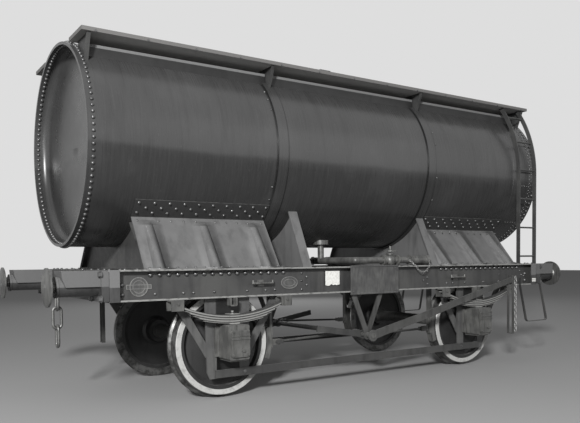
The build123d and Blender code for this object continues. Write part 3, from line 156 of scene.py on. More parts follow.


# Painted highlights along flange edges: narrow light bands at some heights, on upright faces only, broken
# into patches.
def rubbedEdges(heights, half, share, colour, millimetres=70.0, upright=0.7, patches=(0.3, 0.5)):
    def lay(add, place, base):
        z = add("ShaderNodeSeparateXYZ", [place]).outputs[2]
        normal = add("ShaderNodeNewGeometry").outputs["Normal"]
        sideways = add("ShaderNodeSeparateXYZ", [normal]).outputs[1]
        sideways = add("ShaderNodeMath", [sideways], operation="ABSOLUTE")
        onSide = add("ShaderNodeMath", [sideways, upright], operation="GREATER_THAN")
        worn = clouds(add, place, millimetres, 4.0, stretch=(1.0, 1.0, 3.0))
        worn = add("ShaderNodeMapRange", [worn, *patches])
        rubbed = add("ShaderNodeMath", [onSide, worn], operation="MULTIPLY")
        for height in heights:
            band = add("ShaderNodeMath", [z, height, half], operation="COMPARE")
            band = add("ShaderNodeMath", [band, rubbed], operation="MULTIPLY")
            base = coat(add, base, colour, band, share)
        return base
    return lay


# Painted shade between an axle guard's legs, over the axlebox: a near-black coat for the deep shade there.
def sootBetweenLegs(halfWidth, low, colour, share=0.94, soft=0.006, rise=0.05):
    def lay(add, place, base):
        x, y, z = add("ShaderNodeSeparateXYZ", [place]).outputs
        along = fromNearer(add, x, car["axleX"])
        between = add("ShaderNodeMapRange", [along, halfWidth + soft, halfWidth - soft])
        above = add("ShaderNodeMapRange", [z, low, low + rise])
        inside = add("ShaderNodeMath", [between, above], operation="MULTIPLY")
        return coat(add, base, colour, inside, share)
    return lay


# The edges of a spring's leaves. One leaf is too fine to show, so the stripes are drawn for pairs of leaves,
# with a painted highlight along their middle and painted shade between one pair and the next.
def leafStripes(centreZ, innerRadius, leafPair, bright, dirt, brightFrom, dirtFrom):
    def lay(add, place, base):
        radius = fromCentre(add, place, centreZ)
        fromMiddle = fromStepMiddle(add, radius, innerRadius, leafPair)
        base = coat(add, base, bright, add("ShaderNodeMapRange", [fromMiddle, *brightFrom]))
        return coat(add, base, dirt, add("ShaderNodeMapRange", [fromMiddle, *dirtFrom]))
    return lay


# The soft shoulders of the flutes pressed into the side plates, as a height in metres over the flat plate.
# The share at the bend grows to the whole at the foot, and each flute ends softly at the bend.
def fluteShoulders(middleX, spread, halfWidth, heightAtFoot, foot, bend, shareAtBend, above, below):
    def swell(add, place):
        x, y, z = add("ShaderNodeSeparateXYZ", [place]).outputs
        along = fromNearer(add, x, middleX)
        nearest = add("ShaderNodeMath", [along, fromNearer(add, along, spread)], operation="MINIMUM")
        crest = add("ShaderNodeMapRange", [nearest, halfWidth, 0.0], interpolation_type="SMOOTHSTEP")
        grown = add("ShaderNodeMapRange", [z, bend, foot, shareAtBend, 1.0])
        ended = add("ShaderNodeMapRange", [z, bend + above, bend - below])
        shape = add("ShaderNodeMath", [crest, grown], operation="MULTIPLY")
        shape = add("ShaderNodeMath", [shape, ended], operation="MULTIPLY")
        return add("ShaderNodeMath", [shape, heightAtFoot], operation="MULTIPLY")
    return swell


# Where the wear of iron paint sets in and where it is whole, on the scale of its pattern.
paintWear = {"faded": (0.38, 0.66), "runs": (0.5, 0.78), "rubbed": (0.56, 0.78), "rubbedShare": 0.6,
             "runStretch": (1.0, 1.0, 0.16), "levelFaces": (0.6, 0.95), "dustLies": (0.3, 0.6),
             "dust": "#8b8b8a", "dustDulls": 0.2, "dull": (0.3, 0.8), "dulls": 0.22, "shinier": 0.08,
             "finePart": 9, "runPart": 5, "bump": 0.5}


# Brushed or dipped paint on rolled, cast or forged iron: an even colour with faded patches, grime that
# has run down it, dust on its upper faces and the low swell of brush marks that breaks up its shine.
def ironPaint(name, look, lay=None, swell=None):
    finish, add, place = newFinish(name)
    wear = paintWear
    fine = clouds(add, place, look["patch"] / wear["finePart"], 6.0, 0.65)
    faded = add("ShaderNodeMapRange", [clouds(add, place, look["patch"], 4.0), *wear["faded"]])
    runs = clouds(add, place, look["patch"] / wear["runPart"], 4.0, stretch=wear["runStretch"])
    base = coat(add, toLinear(look["colour"]), look["faded"], faded)
    base = coat(add, base, look["grime"], add("ShaderNodeMapRange", [runs, *wear["runs"]]))
    rubbed = add("ShaderNodeMapRange", [fine, *wear["rubbed"]])
    base = coat(add, base, look["faded"], rubbed, wear["rubbedShare"])
    if lay:
        base = lay(add, place, base)
    level = add("ShaderNodeMapRange", [facingUp(add), *wear["levelFaces"]])
    lying = add("ShaderNodeMapRange", [fine, *wear["dustLies"]])
    dusty = add("ShaderNodeMath", [level, lying], operation="MULTIPLY")
    base = coat(add, base, wear["dust"], dusty, look["dust"])
    dull = add("ShaderNodeMapRange", [fine, *wear["dull"]])
    rough = add("ShaderNodeMath", [dull, wear["dulls"], look["roughness"] - wear["shinier"]],
                operation="MULTIPLY_ADD")
    rough = add("ShaderNodeMath", [dusty, wear["dustDulls"], rough], operation="MULTIPLY_ADD")
    marks = {"Height": clouds(add, place, look["grain"]), "Distance": look["relief"],
             "Strength": wear["bump"]}
    if swell:
        pressed = {"Height": swell(add, place), "Distance": 1.0, "Strength": 1.0}
        marks["Normal"] = add("ShaderNodeBump", pressed)
    return finished(finish, add, {"Base Color": base, "Roughness": rough, "Metallic": look["metallic"],
                                  "Normal": add("ShaderNodeBump", marks)})


# Coach enamel on riveted plate, streaked by oil and rain, with the fine up-and-down marks of the brush. Its
# upper half is lighter and its lower half darker, a painted reflection of the sky above and the ground below.
def tankEnamel(name, look):
    finish, add, place = newFinish(name)
    x, y, z = add("ShaderNodeSeparateXYZ", [place]).outputs
    waver = clouds(add, place, look["waverPace"], 2.0)
    waver = add("ShaderNodeMath", [waver, look["waver"], -look["waver"] / 2], operation="MULTIPLY_ADD")
    height = add("ShaderNodeMath", [z, waver], operation="ADD")
    # Lighter above a wavering line and darker below it, as a painted reflection of the sky and the ground.
    upper = add("ShaderNodeMapRange", [height, look["toneLow"], look["toneHigh"]])
    tone = coat(add, toLinear(look["lower"]), look["upper"], upper)
    brushed = clouds(add, place, look["brushPace"], 3.0, 0.6, look["brushStretch"])
    tone = coat(add, tone, look["streak"], add("ShaderNodeMapRange", [brushed, *look["brushed"]]),
                look["brushShare"])
    # Painted shade: a dark line along each edge of the rings' straps.
    ringEdge = fromNearer(add, fromNearer(add, x, car["strapX"]), look["ringHalf"])
    soot = add("ShaderNodeMapRange", [ringEdge, look["ringLine"], look["ringLine"] / 2])
    tone = coat(add, tone, look["ringSoot"], soot, look["ringShare"])
    for colour, millimetres, detail, rough, stretch, ends, share in look["wear"]:
        pattern = clouds(add, place, millimetres, detail, rough, stretch)
        tone = coat(add, tone, colour, add("ShaderNodeMapRange", [pattern, *ends]), share)
    dull = add("ShaderNodeMapRange", [brushed, *look["dull"]])
    rough = add("ShaderNodeMath", [dull, look["dulls"], look["roughness"]], operation="MULTIPLY_ADD")
    broad = clouds(add, place, look["plateSwell"], 1.0)
    fine = clouds(add, place, look["brushMark"], 2.0, stretch=look["markStretch"])
    height = add("ShaderNodeMath", [fine, look["markHeight"], broad], operation="MULTIPLY_ADD")
    bump = add("ShaderNodeBump", {"Height": height, "Distance": look["relief"], "Strength": look["bump"]})
    return finished(finish, add, {"Base Color": tone, "Roughness": rough, "IOR": look["ior"], "Normal": bump})


# A rolled steel tyre: bright where it runs on the rail, oily at the sides, and its outer face painted white.
def tyreFinish(name, look):
    finish, add, place = newFinish(name)
    radius = fromCentre(add, place, car["axleHeight"])
    aside = add("ShaderNodeSeparateXYZ", [place]).outputs[1]
    aside = add("ShaderNodeMath", [aside], operation="ABSOLUTE")
    grime = clouds(add, place, look["grimePace"], 5.0, 0.65)
    edge = add("ShaderNodeMath", [grime, look["waver"], look["paintedTo"]], operation="MULTIPLY_ADD")
    outer = add("ShaderNodeMath", [aside, look["outerFace"]], operation="GREATER_THAN")
    within = add("ShaderNodeMath", [radius, edge], operation="LESS_THAN")
    painted = add("ShaderNodeMath", [outer, within], operation="MULTIPLY")
    oily = add("ShaderNodeMapRange", [grime, *look["oilyFrom"]])
    worn = coat(add, toLinear(look["worn"]), look["oily"], oily)
    soiled = add("ShaderNodeMapRange", [grime, *look["soiledFrom"]])
    white = coat(add, toLinear(look["white"]), look["soiled"], soiled)
    base = add("ShaderNodeMix", {0: painted, 6: worn, 7: white}, data_type="RGBA")
    bare = add("ShaderNodeMath", [painted, -look["metallic"], look["metallic"]], operation="MULTIPLY_ADD")
    return finished(finish, add, {"Base Color": base, "Metallic": bare, "Roughness": look["roughness"]})


# Sawn planks side by side, painted once and weathered: grain along the car, dust in it, a dark gap
# between one plank and the next.
def plankFinish(name, look):
    finish, add, place = newFinish(name)
    grain = clouds(add, place, look["grain"], 6.0, 0.6, look["grainStretch"])
    dry = add("ShaderNodeMapRange", [grain, *look["fadedFrom"]])
    base = coat(add, toLinear(look["colour"]), look["faded"], dry)
    across = add("ShaderNodeSeparateXYZ", [place]).outputs[1]
    across = add("ShaderNodeMath", [across], operation="ABSOLUTE")
    off = fromStepMiddle(add, across, look["innerEdge"], look["plankWidth"])
    gap = add("ShaderNodeMapRange", [off, 0.5 - look["gap"] / look["plankWidth"], 0.5])
    base = coat(add, base, look["gapColour"], gap)
    up = facingUp(add)
    upright = add("ShaderNodeMath", [up, 0.0, look["slope"]], operation="COMPARE")
    base = coat(add, base, look["edge"], upright)
    # Underneath, a pale colour as painted light, for the light thrown up under the walkway.
    below = add("ShaderNodeMath", [up, -look["slope"]], operation="LESS_THAN")
    base = coat(add, base, look["under"], below)
    height = add("ShaderNodeMath", [gap, -look["gapDepth"], grain], operation="MULTIPLY_ADD")
    bump = add("ShaderNodeBump", {"Height": height, "Distance": look["relief"], "Strength": look["bump"]})
    return finished(finish, add, {"Base Color": base, "Roughness": look["roughness"], "Normal": bump})


# Gummed paper, weathered at the edges and wrinkled.
def paperFinish(name, look):
    finish, add, place = newFinish(name)
    fibre = add("ShaderNodeMapRange", [clouds(add, place, look["fibre"], 6.0, 0.6), *look["soiledFrom"]])
    base = coat(add, toLinear(look["colour"]), look["soiled"], fibre)
    bump = add("ShaderNodeBump", {"Height": clouds(add, place, look["wrinkle"], 4.0),
                                  "Distance": look["relief"], "Strength": look["bump"]})
    return finished(finish, add, {"Base Color": base, "Roughness": look["roughness"], "Normal": bump})


# The patches and the grain are given in millimetres. Real brush marks and cast skin are finer, and the grain
# is drawn as coarse as it needs to show.
def iron(colour, faded, grime, roughness, patch=420.0, relief=0.0006, metallic=0.0, dust=0.35, grain=9.0):
    return {"colour": colour, "faded": faded, "grime": grime, "roughness": roughness, "patch": patch,
            "relief": relief, "metallic": metallic, "dust": dust, "grain": grain}


# The leaves' edges, which curve round a centre high over the axle.
leafEdges = {"centreZ": 2.0982, "innerRadius": 1.3227, "leafPair": 0.021, "bright": "#868684",
             "dirt": "#080808", "brightFrom": (0.32, 0.12), "dirtFrom": (0.34, 0.44)}
flutes = {"middleX": 1.7145, "spread": 0.530, "halfWidth": 0.135, "heightAtFoot": 0.075, "foot": 1.20,
          "bend": 1.60, "shareAtBend": 0.4, "above": 0.012, "below": 0.030}
# The columns of wear are its colour, one swell in millimetres, detail, roughness and stretch of its pattern,
# where it sets in and is whole, and its share.
tankLook = {
    "upper": "#3b3b3b",
    "lower": "#2c2c2c",
    "streak": "#525252",
    "toneLow": 2.185,
    "toneHigh": 2.225,
    "waver": 0.08,
    "waverPace": 900.0,
    "brushPace": 16.0,
    "brushStretch": (1.0, 0.05, 0.05),
    "brushed": (0.5, 0.72),
    "brushShare": 0.13,
    "ringHalf": 0.062,
    "ringLine": 0.014,
    "ringSoot": "#121212",
    "ringShare": 0.75,
    "wear": (("#525252", 650.0, 4.0, 0.55, (1.0, 1.0, 1.0), (0.5, 0.7), 0.25),
             ("#242424", 110.0, 5.0, 0.6, (1.0, 0.12, 0.12), (0.52, 0.68), 0.3),
             ("#626261", 24.0, 5.0, 0.7, (1.0, 1.0, 1.0), (0.6, 0.8), 0.35)),
    "roughness": 0.24,
    "dull": (0.3, 0.75),
    "dulls": 0.12,
    "plateSwell": 330.0,
    "brushMark": 7.0,
    "markStretch": (1.0, 0.1, 0.1),
    "markHeight": 0.06,
    "relief": 0.004,
    "bump": 0.3,
    "ior": 1.5,
}
tyreLook = {"paintedTo": 0.461, "outerFace": 0.8035, "waver": 0.010, "grimePace": 60.0, "worn": "#6a6a69",
            "oily": "#40403f", "white": "#adadab", "soiled": "#7e7e7c", "oilyFrom": (0.42, 0.62),
            "soiledFrom": (0.5, 0.74), "metallic": 0.7, "roughness": 0.45}
plankLook = {"colour": "#696968", "faded": "#838382", "fadedFrom": (0.35, 0.7), "grain": 14.0,
             "grainStretch": (0.06, 1.0, 1.0), "innerEdge": 0.402, "plankWidth": 0.1213, "gap": 0.003,
             "gapColour": "#141413", "gapDepth": 2.0, "relief": 0.0015, "bump": 0.6, "slope": 0.5,
             "edge": "#61605f", "under": "#b5b4b2", "roughness": 0.75}
paperLook = {"colour": "#dadad6", "soiled": "#b5b4af", "soiledFrom": (0.45, 0.8), "fibre": 22.0,
             "wrinkle": 40.0, "relief": 0.003, "bump": 0.6, "roughness": 0.85}
finishes = {
    "tank": tankEnamel("coachEnamelOnTank", tankLook),
    # Side plates: the strip above the bend, which faces down, is coated near black as painted shade.
    "saddle": ironPaint("greyPaintOnPressedPlate", iron("#5a5a5a", "#666666", "#4e4e4e", 0.4),
                        toneAbove((1.640, 1.598), 0.92, "#262626"), fluteShoulders(**flutes)),
    "cradle": ironPaint("greyPaintOnCradlePlate", iron("#555555", "#616161", "#414141", 0.45)),
    # Corner plates: a light coat above the buffers' middle height as painted light, with the dark paint left
    # below it.
    "corner": ironPaint("greyPaintOnHeadstockPlate", iron("#343434", "#404040", "#262626", 0.45, 160.0),
                        toneAbove((1.045, 1.045), 0.85, "#696969")),
    # Buffer guides: a light coat on the upper half as painted light, with the dark paint left below it.
    "buffer": ironPaint("greyPaintOnBufferGuide", iron("#2b2b2b", "#383838", "#1b1b1b", 0.5, 160.0),
                        toneAbove((1.056, 1.056), 0.75, "#626262")),
    # Walkway angles: near black as painted shade under the planks, with a light band along the top edge above
    # 3.034 m as a painted highlight.
    "angle": ironPaint("greyPaintOnWalkwayAngle", iron("#181818", "#202020", "#101010", 0.5),
                       toneAbove((3.034, 3.034), 1.0, "#686868")),
    # Rivet and bolt heads: a colour lighter than the paint round them, as a painted highlight for the light
    # that their domes catch.
    "tankHead": ironPaint("enamelOnRivetHeads",
                          iron("#5a5a5a", "#6a6a6a", "#444444", 0.3, 300.0, 0.0002, 0.6)),
    "frameHead": ironPaint("blackPaintOnRivetHeads",
                           iron("#5e5e5e", "#707070", "#444444", 0.3, 300.0, 0.0002, 0.6)),
    "frame": ironPaint("blackPaintOnRolledSteel", iron("#333333", "#434342", "#202020", 0.5)),
    # Solebars: light bands along the top and bottom flanges' edges as painted highlights.
    "solebar": ironPaint("blackPaintOnSolebar", iron("#353535", "#434342", "#232323", 0.5),
                         rubbedEdges((car["frameBottom"], car["frameTop"]), 0.014, 0.8, "#8e8e8c")),
    # Springs: light stripes on the leaves' edges as painted highlights, with near-black lines between them as
    # painted shade.
    "leaf": ironPaint("oilyPaintOnSpringLeaves", iron("#454544", "#565654", "#242424", 0.5, 160.0, 0.0008),
                      leafStripes(**leafEdges)),
    # Axle guards: near black between the legs, above the axlebox, as painted shade.
    "guard": ironPaint("blackPaintOnAxleGuard", iron("#464646", "#565655", "#303030", 0.48, 240.0),
                       sootBetweenLegs(0.118, 0.70, "#060606")),
    "lever": ironPaint("handWornLeverPaint", iron("#3c3c3b", "#4b4b4a", "#292928", 0.44, 240.0)),
    "running": ironPaint("oilyPaintOnCastIron", iron("#444443", "#5b5b59", "#262625", 0.46, 120.0, 0.0012)),
    "wheel": ironPaint("blackPaintOnForgedWheel", iron("#1c1c1c", "#282828", "#101010", 0.55)),
    "tyre": tyreFinish("rolledSteelTyre", tyreLook),
    "bright": ironPaint("wornSteel", iron("#5b5b5a", "#777775", "#343433", 0.42, 120.0, 0.0008, 0.6)),
    "plank": plankFinish("weatheredPlank", plankLook),
    "valve": ironPaint("castValveMetal", iron("#4a4a49", "#6b6b69", "#2b2b2a", 0.45, 90.0, 0.001, 0.3)),
    "plate": ironPaint("castPlatePaint", iron("#3d3d3d", "#525251", "#2a2a2a", 0.5, 120.0)),
    "link": ironPaint("rubbedChainIron", iron("#868685", "#9c9c9b", "#5a5a59", 0.35, 60.0, 0.0004, 0.5)),
    "relief": ironPaint("rubbedPlateRims", iron("#666665", "#787876", "#40403f", 0.42, 60.0)),
    "paper": paperFinish("gummedPaper", paperLook),
}
print("finishes made")

finishOfSlot = {
    "tank_paint": "tank",
    "side_plate_paint": "saddle",
    "frame_paint": "frame",
    "running_gear_iron": "running",
    "wheel_paint": "wheel",
    "tyre_steel": "tyre",
    "bright_steel": "bright",
    "plank_wood": "plank",
    "valve_metal": "valve",
    "plate_iron": "plate",
}
slotOfNode = {row["node"]: row["material_slot"] for row in frame["record"]["subparts"]}
finishOfNode = {
    "side_plates_near": "saddle",
    "side_plates_far": "saddle",
    "cradles": "cradle",
    "corner_plates": "corner",
    "buffer_guides": "buffer",
    "walkway_angles": "angle",
    "solebar_near": "solebar",
    "solebar_far": "solebar",
    "springs_near": "leaf",
    "springs_far": "leaf",
    "axle_guards_near": "guard",
    "axle_guards_far": "guard",
    "brake_levers": "lever",
    "brake_hangers": "lever",
    "lever_guards": "lever",
}
for nodeName, piece in nodes.items():
    finish = finishes[finishOfNode.get(nodeName, finishOfSlot[slotOfNode[nodeName]])]
    piece.data.materials.clear()
    piece.data.materials.append(finish)
print("finishes given to the packed part")


# A Geometry Nodes tree with its named inputs: the function that adds a node to it and its inputs' outputs.
def newTree(name, sockets):
    tree = bpy.data.node_groups.new(name, "GeometryNodeTree")
    ids = {}
    for label, kind in sockets.items():
        ids[label] = tree.interface.new_socket(label, in_out="INPUT", socket_type=kind).identifier
    tree.interface.new_socket("Result", in_out="OUTPUT", socket_type="NodeSocketGeometry")
    add = partial(addNode, tree)
    return tree, ids, add, add("NodeGroupInput").outputs


# Puts a shape on each point, turned as it is told, and ends the tree.
def onPoints(add, given, shape, turn):
    copies = add("GeometryNodeInstanceOnPoints", {"Points": given["Points"], "Instance": shape,
                                                  "Rotation": turn})
    real = add("GeometryNodeRealizeInstances", [copies])
    add("NodeGroupOutput", [add("GeometryNodeSetMaterial", {"Geometry": real, "Material": given["Paint"]})])


# Turns an axis of the shape to the way that each point faces.
def alongFacing(add, axis):
    facing = add("GeometryNodeInputNamedAttribute", {"Name": "facing"}, data_type="FLOAT_VECTOR")
    return add("FunctionNodeAlignRotationToVector", {"Vector": facing}, axis=axis)


# A bolt's head and its washer, for a head of radius 1 and height 1.
nutShape = {"corners": 6, "washerCorners": 14, "washerRadius": 1.3, "washerDepth": 0.3, "washerMiddle": 0.05}
# A rivet's snap head: the upper part of a ball, cut off a little under its middle.
domeShape = {"segments": 10, "rings": 6, "foot": -0.1}


def nutOnWasher(add):
    nut = add("GeometryNodeMeshCylinder", {"Vertices": nutShape["corners"], "Radius": 1.0, "Depth": 1.0})
    nut = add("GeometryNodeTransform", {"Geometry": nut, "Translation": (0.0, 0.0, 0.5)})
    washer = add("GeometryNodeMeshCylinder", {"Vertices": nutShape["washerCorners"],
                                              "Radius": nutShape["washerRadius"],
                                              "Depth": nutShape["washerDepth"]})
    washer = add("GeometryNodeTransform", {"Geometry": washer,
                                           "Translation": (0.0, 0.0, nutShape["washerMiddle"])})
    return add("GeometryNodeJoinGeometry", [[nut, washer]])


def snapHead(add):
    ball = add("GeometryNodeMeshUVSphere", {"Segments": domeShape["segments"], "Rings": domeShape["rings"],
                                            "Radius": 1.0})
    x, y, z = add("ShaderNodeSeparateXYZ", [add("GeometryNodeInputPosition")]).outputs
    lifted = add("ShaderNodeMath", [z, domeShape["foot"]], operation="MAXIMUM")
    flat = add("ShaderNodeCombineXYZ", [x, y, lifted])
    dome = add("GeometryNodeSetPosition", {"Geometry": ball, "Position": flat})
    return add("GeometryNodeSetShadeSmooth", {"Geometry": dome})


# Geometry Nodes: a head on each point of a mesh, standing along the point's facing.
def headTree(name, shape):
    tree, ids, add, given = newTree(name, {"Points": "NodeSocketGeometry", "Head Radius": "NodeSocketFloat",
                                           "Head Height": "NodeSocketFloat", "Paint": "NodeSocketMaterial"})
    size = add("ShaderNodeCombineXYZ", [given["Head Radius"], given["Head Radius"], given["Head Height"]])
    head = add("GeometryNodeTransform", {"Geometry": shape(add), "Scale": size})
    onPoints(add, given, head, alongFacing(add, "Z"))
    return tree, ids


# Geometry Nodes: links of round wire on the points of a mesh, each a quarter turn from the last, with
# their length along the points' facing.
def linkTree(name, linkSteps=14, wireSteps=7):
    tree, ids, add, given = newTree(name, {"Points": "NodeSocketGeometry", "Link Length": "NodeSocketFloat",
                                           "Link Width": "NodeSocketFloat", "Wire Radius": "NodeSocketFloat",
                                           "Paint": "NodeSocketMaterial"})
    ring = add("GeometryNodeCurvePrimitiveCircle", {"Resolution": linkSteps, "Radius": 0.5})
    size = add("ShaderNodeCombineXYZ", [given["Link Width"], given["Link Length"], 1.0])
    loop = add("GeometryNodeTransform", {"Geometry": ring, "Scale": size})
    wire = add("GeometryNodeCurvePrimitiveCircle", {"Resolution": wireSteps, "Radius": 1.0})
    wire = add("GeometryNodeTransform", {"Geometry": wire, "Scale": given["Wire Radius"]})
    link = add("GeometryNodeCurveToMesh", {"Curve": loop, "Profile Curve": wire})
    link = add("GeometryNodeSetShadeSmooth", {"Geometry": link})
    quarter = add("ShaderNodeMath", [add("GeometryNodeInputIndex"), pi / 2], operation="MULTIPLY")
    spin = add("ShaderNodeCombineXYZ", [0.0, quarter])
    turn = add("FunctionNodeRotateRotation", [alongFacing(add, "Y"), spin], rotation_space="LOCAL")
    onPoints(add, given, link, turn)
    return tree, ids


trees = {"rivet": headTree("rivetHeads", snapHead), "bolt": headTree("boltHeads", nutOnWasher),
         "link": linkTree("chainLinks")}


# A new object of the scene that holds a mesh, a lamp or a camera.
def placed(name, data):
    holder = bpy.data.objects.new(name, data)
    bpy.context.scene.collection.objects.link(holder)
    return holder


# A piece rides on a body.
def settle(piece, body, slot):
    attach(piece, body)
    return piece


# The result of an object's modifier, as a plain mesh of its own in place of that object.
def plainMesh(worked, name):
    view = bpy.context.evaluated_depsgraph_get()
    mesh = bpy.data.meshes.new_from_object(worked.evaluated_get(view))
    worked.modifiers.clear()
    bpy.data.objects.remove(worked)
    mesh.name = name
    return placed(name, mesh)


# Points are given as (place, facing) pairs.
def repeat(name, kind, points, sizes, finish, slot, body="underframe_and_tank"):
    cloud = bpy.data.meshes.new(name + "Points")
    cloud.from_pydata([tuple(place) for place, facing in points], [], [])
    facing = cloud.attributes.new("facing", "FLOAT_VECTOR", "POINT")
    facing.data.foreach_set("vector", [value for place, way in points for value in way])
    worked = placed(name + "Cloud", cloud)
    modifier = worked.modifiers.new("repeat", "NODES")
    tree, ids = trees[kind]
    modifier.node_group = tree
    for label, value in sizes.items():
        modifier[ids[label]] = value
    modifier[ids["Paint"]] = finishes[finish]
    return settle(plainMesh(worked, name), body, slot)


def rivets(name, points, look, finish, slot="frame_paint", kind="rivet"):
    sizes = {"Head Radius": look["headRadius"], "Head Height": look["headHeight"]}
    return repeat(name, kind, points, sizes, finish, slot)


bolts = partial(rivets, kind="bolt")


# A point on the barrel, or on a ring round it: angle 0 is the near side, 90 the crown. Radius is signed:
# a negative one faces the axis.
def onBarrel(x, angle, radius=car["tankRadius"]):
    out = Vector((0.0, -cos(radians(angle)), sin(radians(angle))))
    place = Vector((x, 0.0, car["tankAxis"])) + out * abs(radius)
    return place, out if radius > 0 else -out


# A point's like on the far side: by turning the car half round, or straight across it.
def around(place, facing):
    return Vector((-place.x, -place.y, place.z)), Vector((-facing.x, -facing.y, facing.z))


def across(place, facing):
    return Vector((place.x, -place.y, place.z)), Vector((facing.x, -facing.y, facing.z))


def bothSides(points):
    return points + [around(*point) for point in points]


def mirrored(points):
    return points + [across(*point) for point in points]


def row(start, end, count):
    return [start + (end - start) * index / (count - 1) for index in range(count)]


outwards, upwards, endwards = Vector((0, -1, 0)), Vector((0, 0, 1)), Vector((1, 0, 0))


# Points at every x and every z, on the near side of the car at a distance y from its middle.
def onNearSide(xs, y, zs, facing=outwards):
    return [(Vector((x, -y, z)), facing) for x in xs for z in zs]


# Two rings of rivets at each end of the tank: round the barrel, and inside the end plate's flange.
rimRivets = {"count": 110, "barrelX": 2.777, "flangeX": 2.786, "flangeRadius": -0.8757,
             "headRadius": 0.0165, "headHeight": 0.015}
turnStep = 360 / rimRivets["count"]
points = []
for index in range(rimRivets["count"]):
    points.append(onBarrel(rimRivets["barrelX"], index * turnStep))
    points.append(onBarrel(rimRivets["flangeX"], index * turnStep, rimRivets["flangeRadius"]))
rivets("endRimRivets", bothSides(points), rimRivets, "tankHead", "tank_paint")

# Each side plate's strip: two full rows of rivets and a shorter one between them.
stripRivets = {
    "plates": ((-2.382, 36.3), (1.047, 39.8)),
    "length": 1.335,
    "rowSteps": (0.0, 3.1, 6.4),
    "margin": 0.035,
    "count": 10,
    "radius": 0.9103,
    "headRadius": 0.0150,
    "headHeight": 0.0145,
}
points = []
for start, angle in stripRivets["plates"]:
    low, high = start + stripRivets["margin"], start + stripRivets["length"] - stripRivets["margin"]
    halfPitch = (high - low) / (stripRivets["count"] - 1) / 2
    for index, step in enumerate(stripRivets["rowSteps"]):
        inset, fewer = (halfPitch, 1) if index == 1 else (0.0, 0)
        for x in row(low + inset, high - inset, stripRivets["count"] - fewer):
            points.append(onBarrel(x, -angle - step, stripRivets["radius"]))
rivets("sidePlateRivets", bothSides(points), stripRivets, "tankHead", "tank_paint")

# A row of small rivets along the upper edge of each plate's slope.
slopeRivets = {"plates": (-2.382, 1.047), "length": 1.335, "y": 0.652, "z": (1.606, 1.564),
               "shares": (0.035, 0.180, 0.270, 0.360, 0.449, 0.599, 0.686, 0.770, 0.859, 0.972),
               "lean": (0.0, -0.83, 0.56), "headRadius": 0.0105, "headHeight": 0.008}
points = []
for start, z in zip(slopeRivets["plates"], slopeRivets["z"]):
    xs = [start + share * slopeRivets["length"] for share in slopeRivets["shares"]]
    points += onNearSide(xs, slopeRivets["y"], [z], Vector(slopeRivets["lean"]))
rivets("slopeRivets", bothSides(points), slopeRivets, "frameHead")

# The big rivets along the solebar's web under the side plates, and two over two at its ends.
solebarRivets = {"z": 1.140, "pitch": 0.0827, "starts": (-2.332, 1.100), "count": 17,
                 "endXs": (-2.578, 2.578), "endZs": (1.063, 0.982), "headRadius": 0.021, "headHeight": 0.023}
points = []
for start in solebarRivets["starts"]:
    xs = [start + index * solebarRivets["pitch"] for index in range(solebarRivets["count"])]
    points += onNearSide(xs, car["solebarWeb"], [solebarRivets["z"]])
points += onNearSide(solebarRivets["endXs"], car["solebarWeb"], solebarRivets["endZs"])
rivets("solebarRivets", bothSides(points), solebarRivets, "frameHead")

# Smaller ones low on the web, and in columns where the hangers and brackets are riveted on behind it.
webRivets = {
    "low": (-2.291, -2.032, -1.937, -1.734, -1.402, -1.204, -1.100, 0.893, 1.199, 1.294, 1.495, 1.816, 2.09),
    "lowZ": 0.979,
    "columns": ((-0.797, 1.128), (-0.737, 1.091), (-0.797, 1.056), (-0.738, 1.014), (-0.797, 0.971),
                (0.832, 1.085), (0.893, 1.050), (0.832, 1.021), (0.893, 1.118), (2.099, 1.062),
                (2.180, 1.135), (2.487, 1.100), (2.515, 1.050), (2.562, 1.036)),
    "headRadius": 0.0135,
    "headHeight": 0.011,
}
points = onNearSide(webRivets["low"], car["solebarWeb"], [webRivets["lowZ"]])
for x, z in webRivets["columns"]:
    points += onNearSide([x], car["solebarWeb"], [z])
rivets("webRivets", bothSides(points), webRivets, "frameHead")

# Rivets through the flanges' tops: the side plates' feet, the solebars' ends and the headstocks.
topRivets = {"footY": 0.960, "footZ": 1.196, "footPitch": 0.0834, "footStarts": (-2.352, 1.077),
             "footCount": 16, "solebarY": 0.945, "solebarXs": (-2.60, -2.56, -2.455, 2.455, 2.56, 2.60),
             "headstockX": 2.660, "headstockYs": (0.857, 0.744, 0.587, 0.394, 0.135), "headRadius": 0.014,
             "headHeight": 0.011}
points = []
for start in topRivets["footStarts"]:
    xs = [start + index * topRivets["footPitch"] for index in range(topRivets["footCount"])]
    points += onNearSide(xs, topRivets["footY"], [topRivets["footZ"]], upwards)
points += onNearSide(topRivets["solebarXs"], topRivets["solebarY"], [car["frameTop"]], upwards)
for y in topRivets["headstockYs"]:
    for place in onNearSide([topRivets["headstockX"]], y, [car["frameTop"]], upwards):
        points += [place, across(*place)]
rivets("topRivets", bothSides(points), topRivets, "frameHead")

# Rivets beside the rings, two rows round the right end and a few in the seams there.
barrelRivets = {
    "single": ((-1.060, 39.0), (-1.060, 32.5), (-1.060, 25.0), (-1.066, -23.0), (-1.066, -31.0),
               (1.066, 24.0), (1.066, 15.0), (1.066, -9.0), (1.066, -25.0),
               (2.500, -40.5), (2.548, -40.5), (2.596, -40.5), (2.644, -40.5),
               (2.560, -9.6), (2.605, -9.6), (2.650, -9.6)),
    "rows": ((2.722, 0.0), (2.694, 0.5)),
    "rowAngles": (-62.0, 62.0),
    "rowCount": 44,
    "headRadius": 0.0115,
    "headHeight": 0.009,
}
points = [onBarrel(x, angle) for x, angle in barrelRivets["single"]]
step = (barrelRivets["rowAngles"][1] - barrelRivets["rowAngles"][0]) / barrelRivets["rowCount"]
for x, shift in barrelRivets["rows"]:
    for index in range(barrelRivets["rowCount"]):
        points.append(onBarrel(x, barrelRivets["rowAngles"][0] + (index + shift) * step))
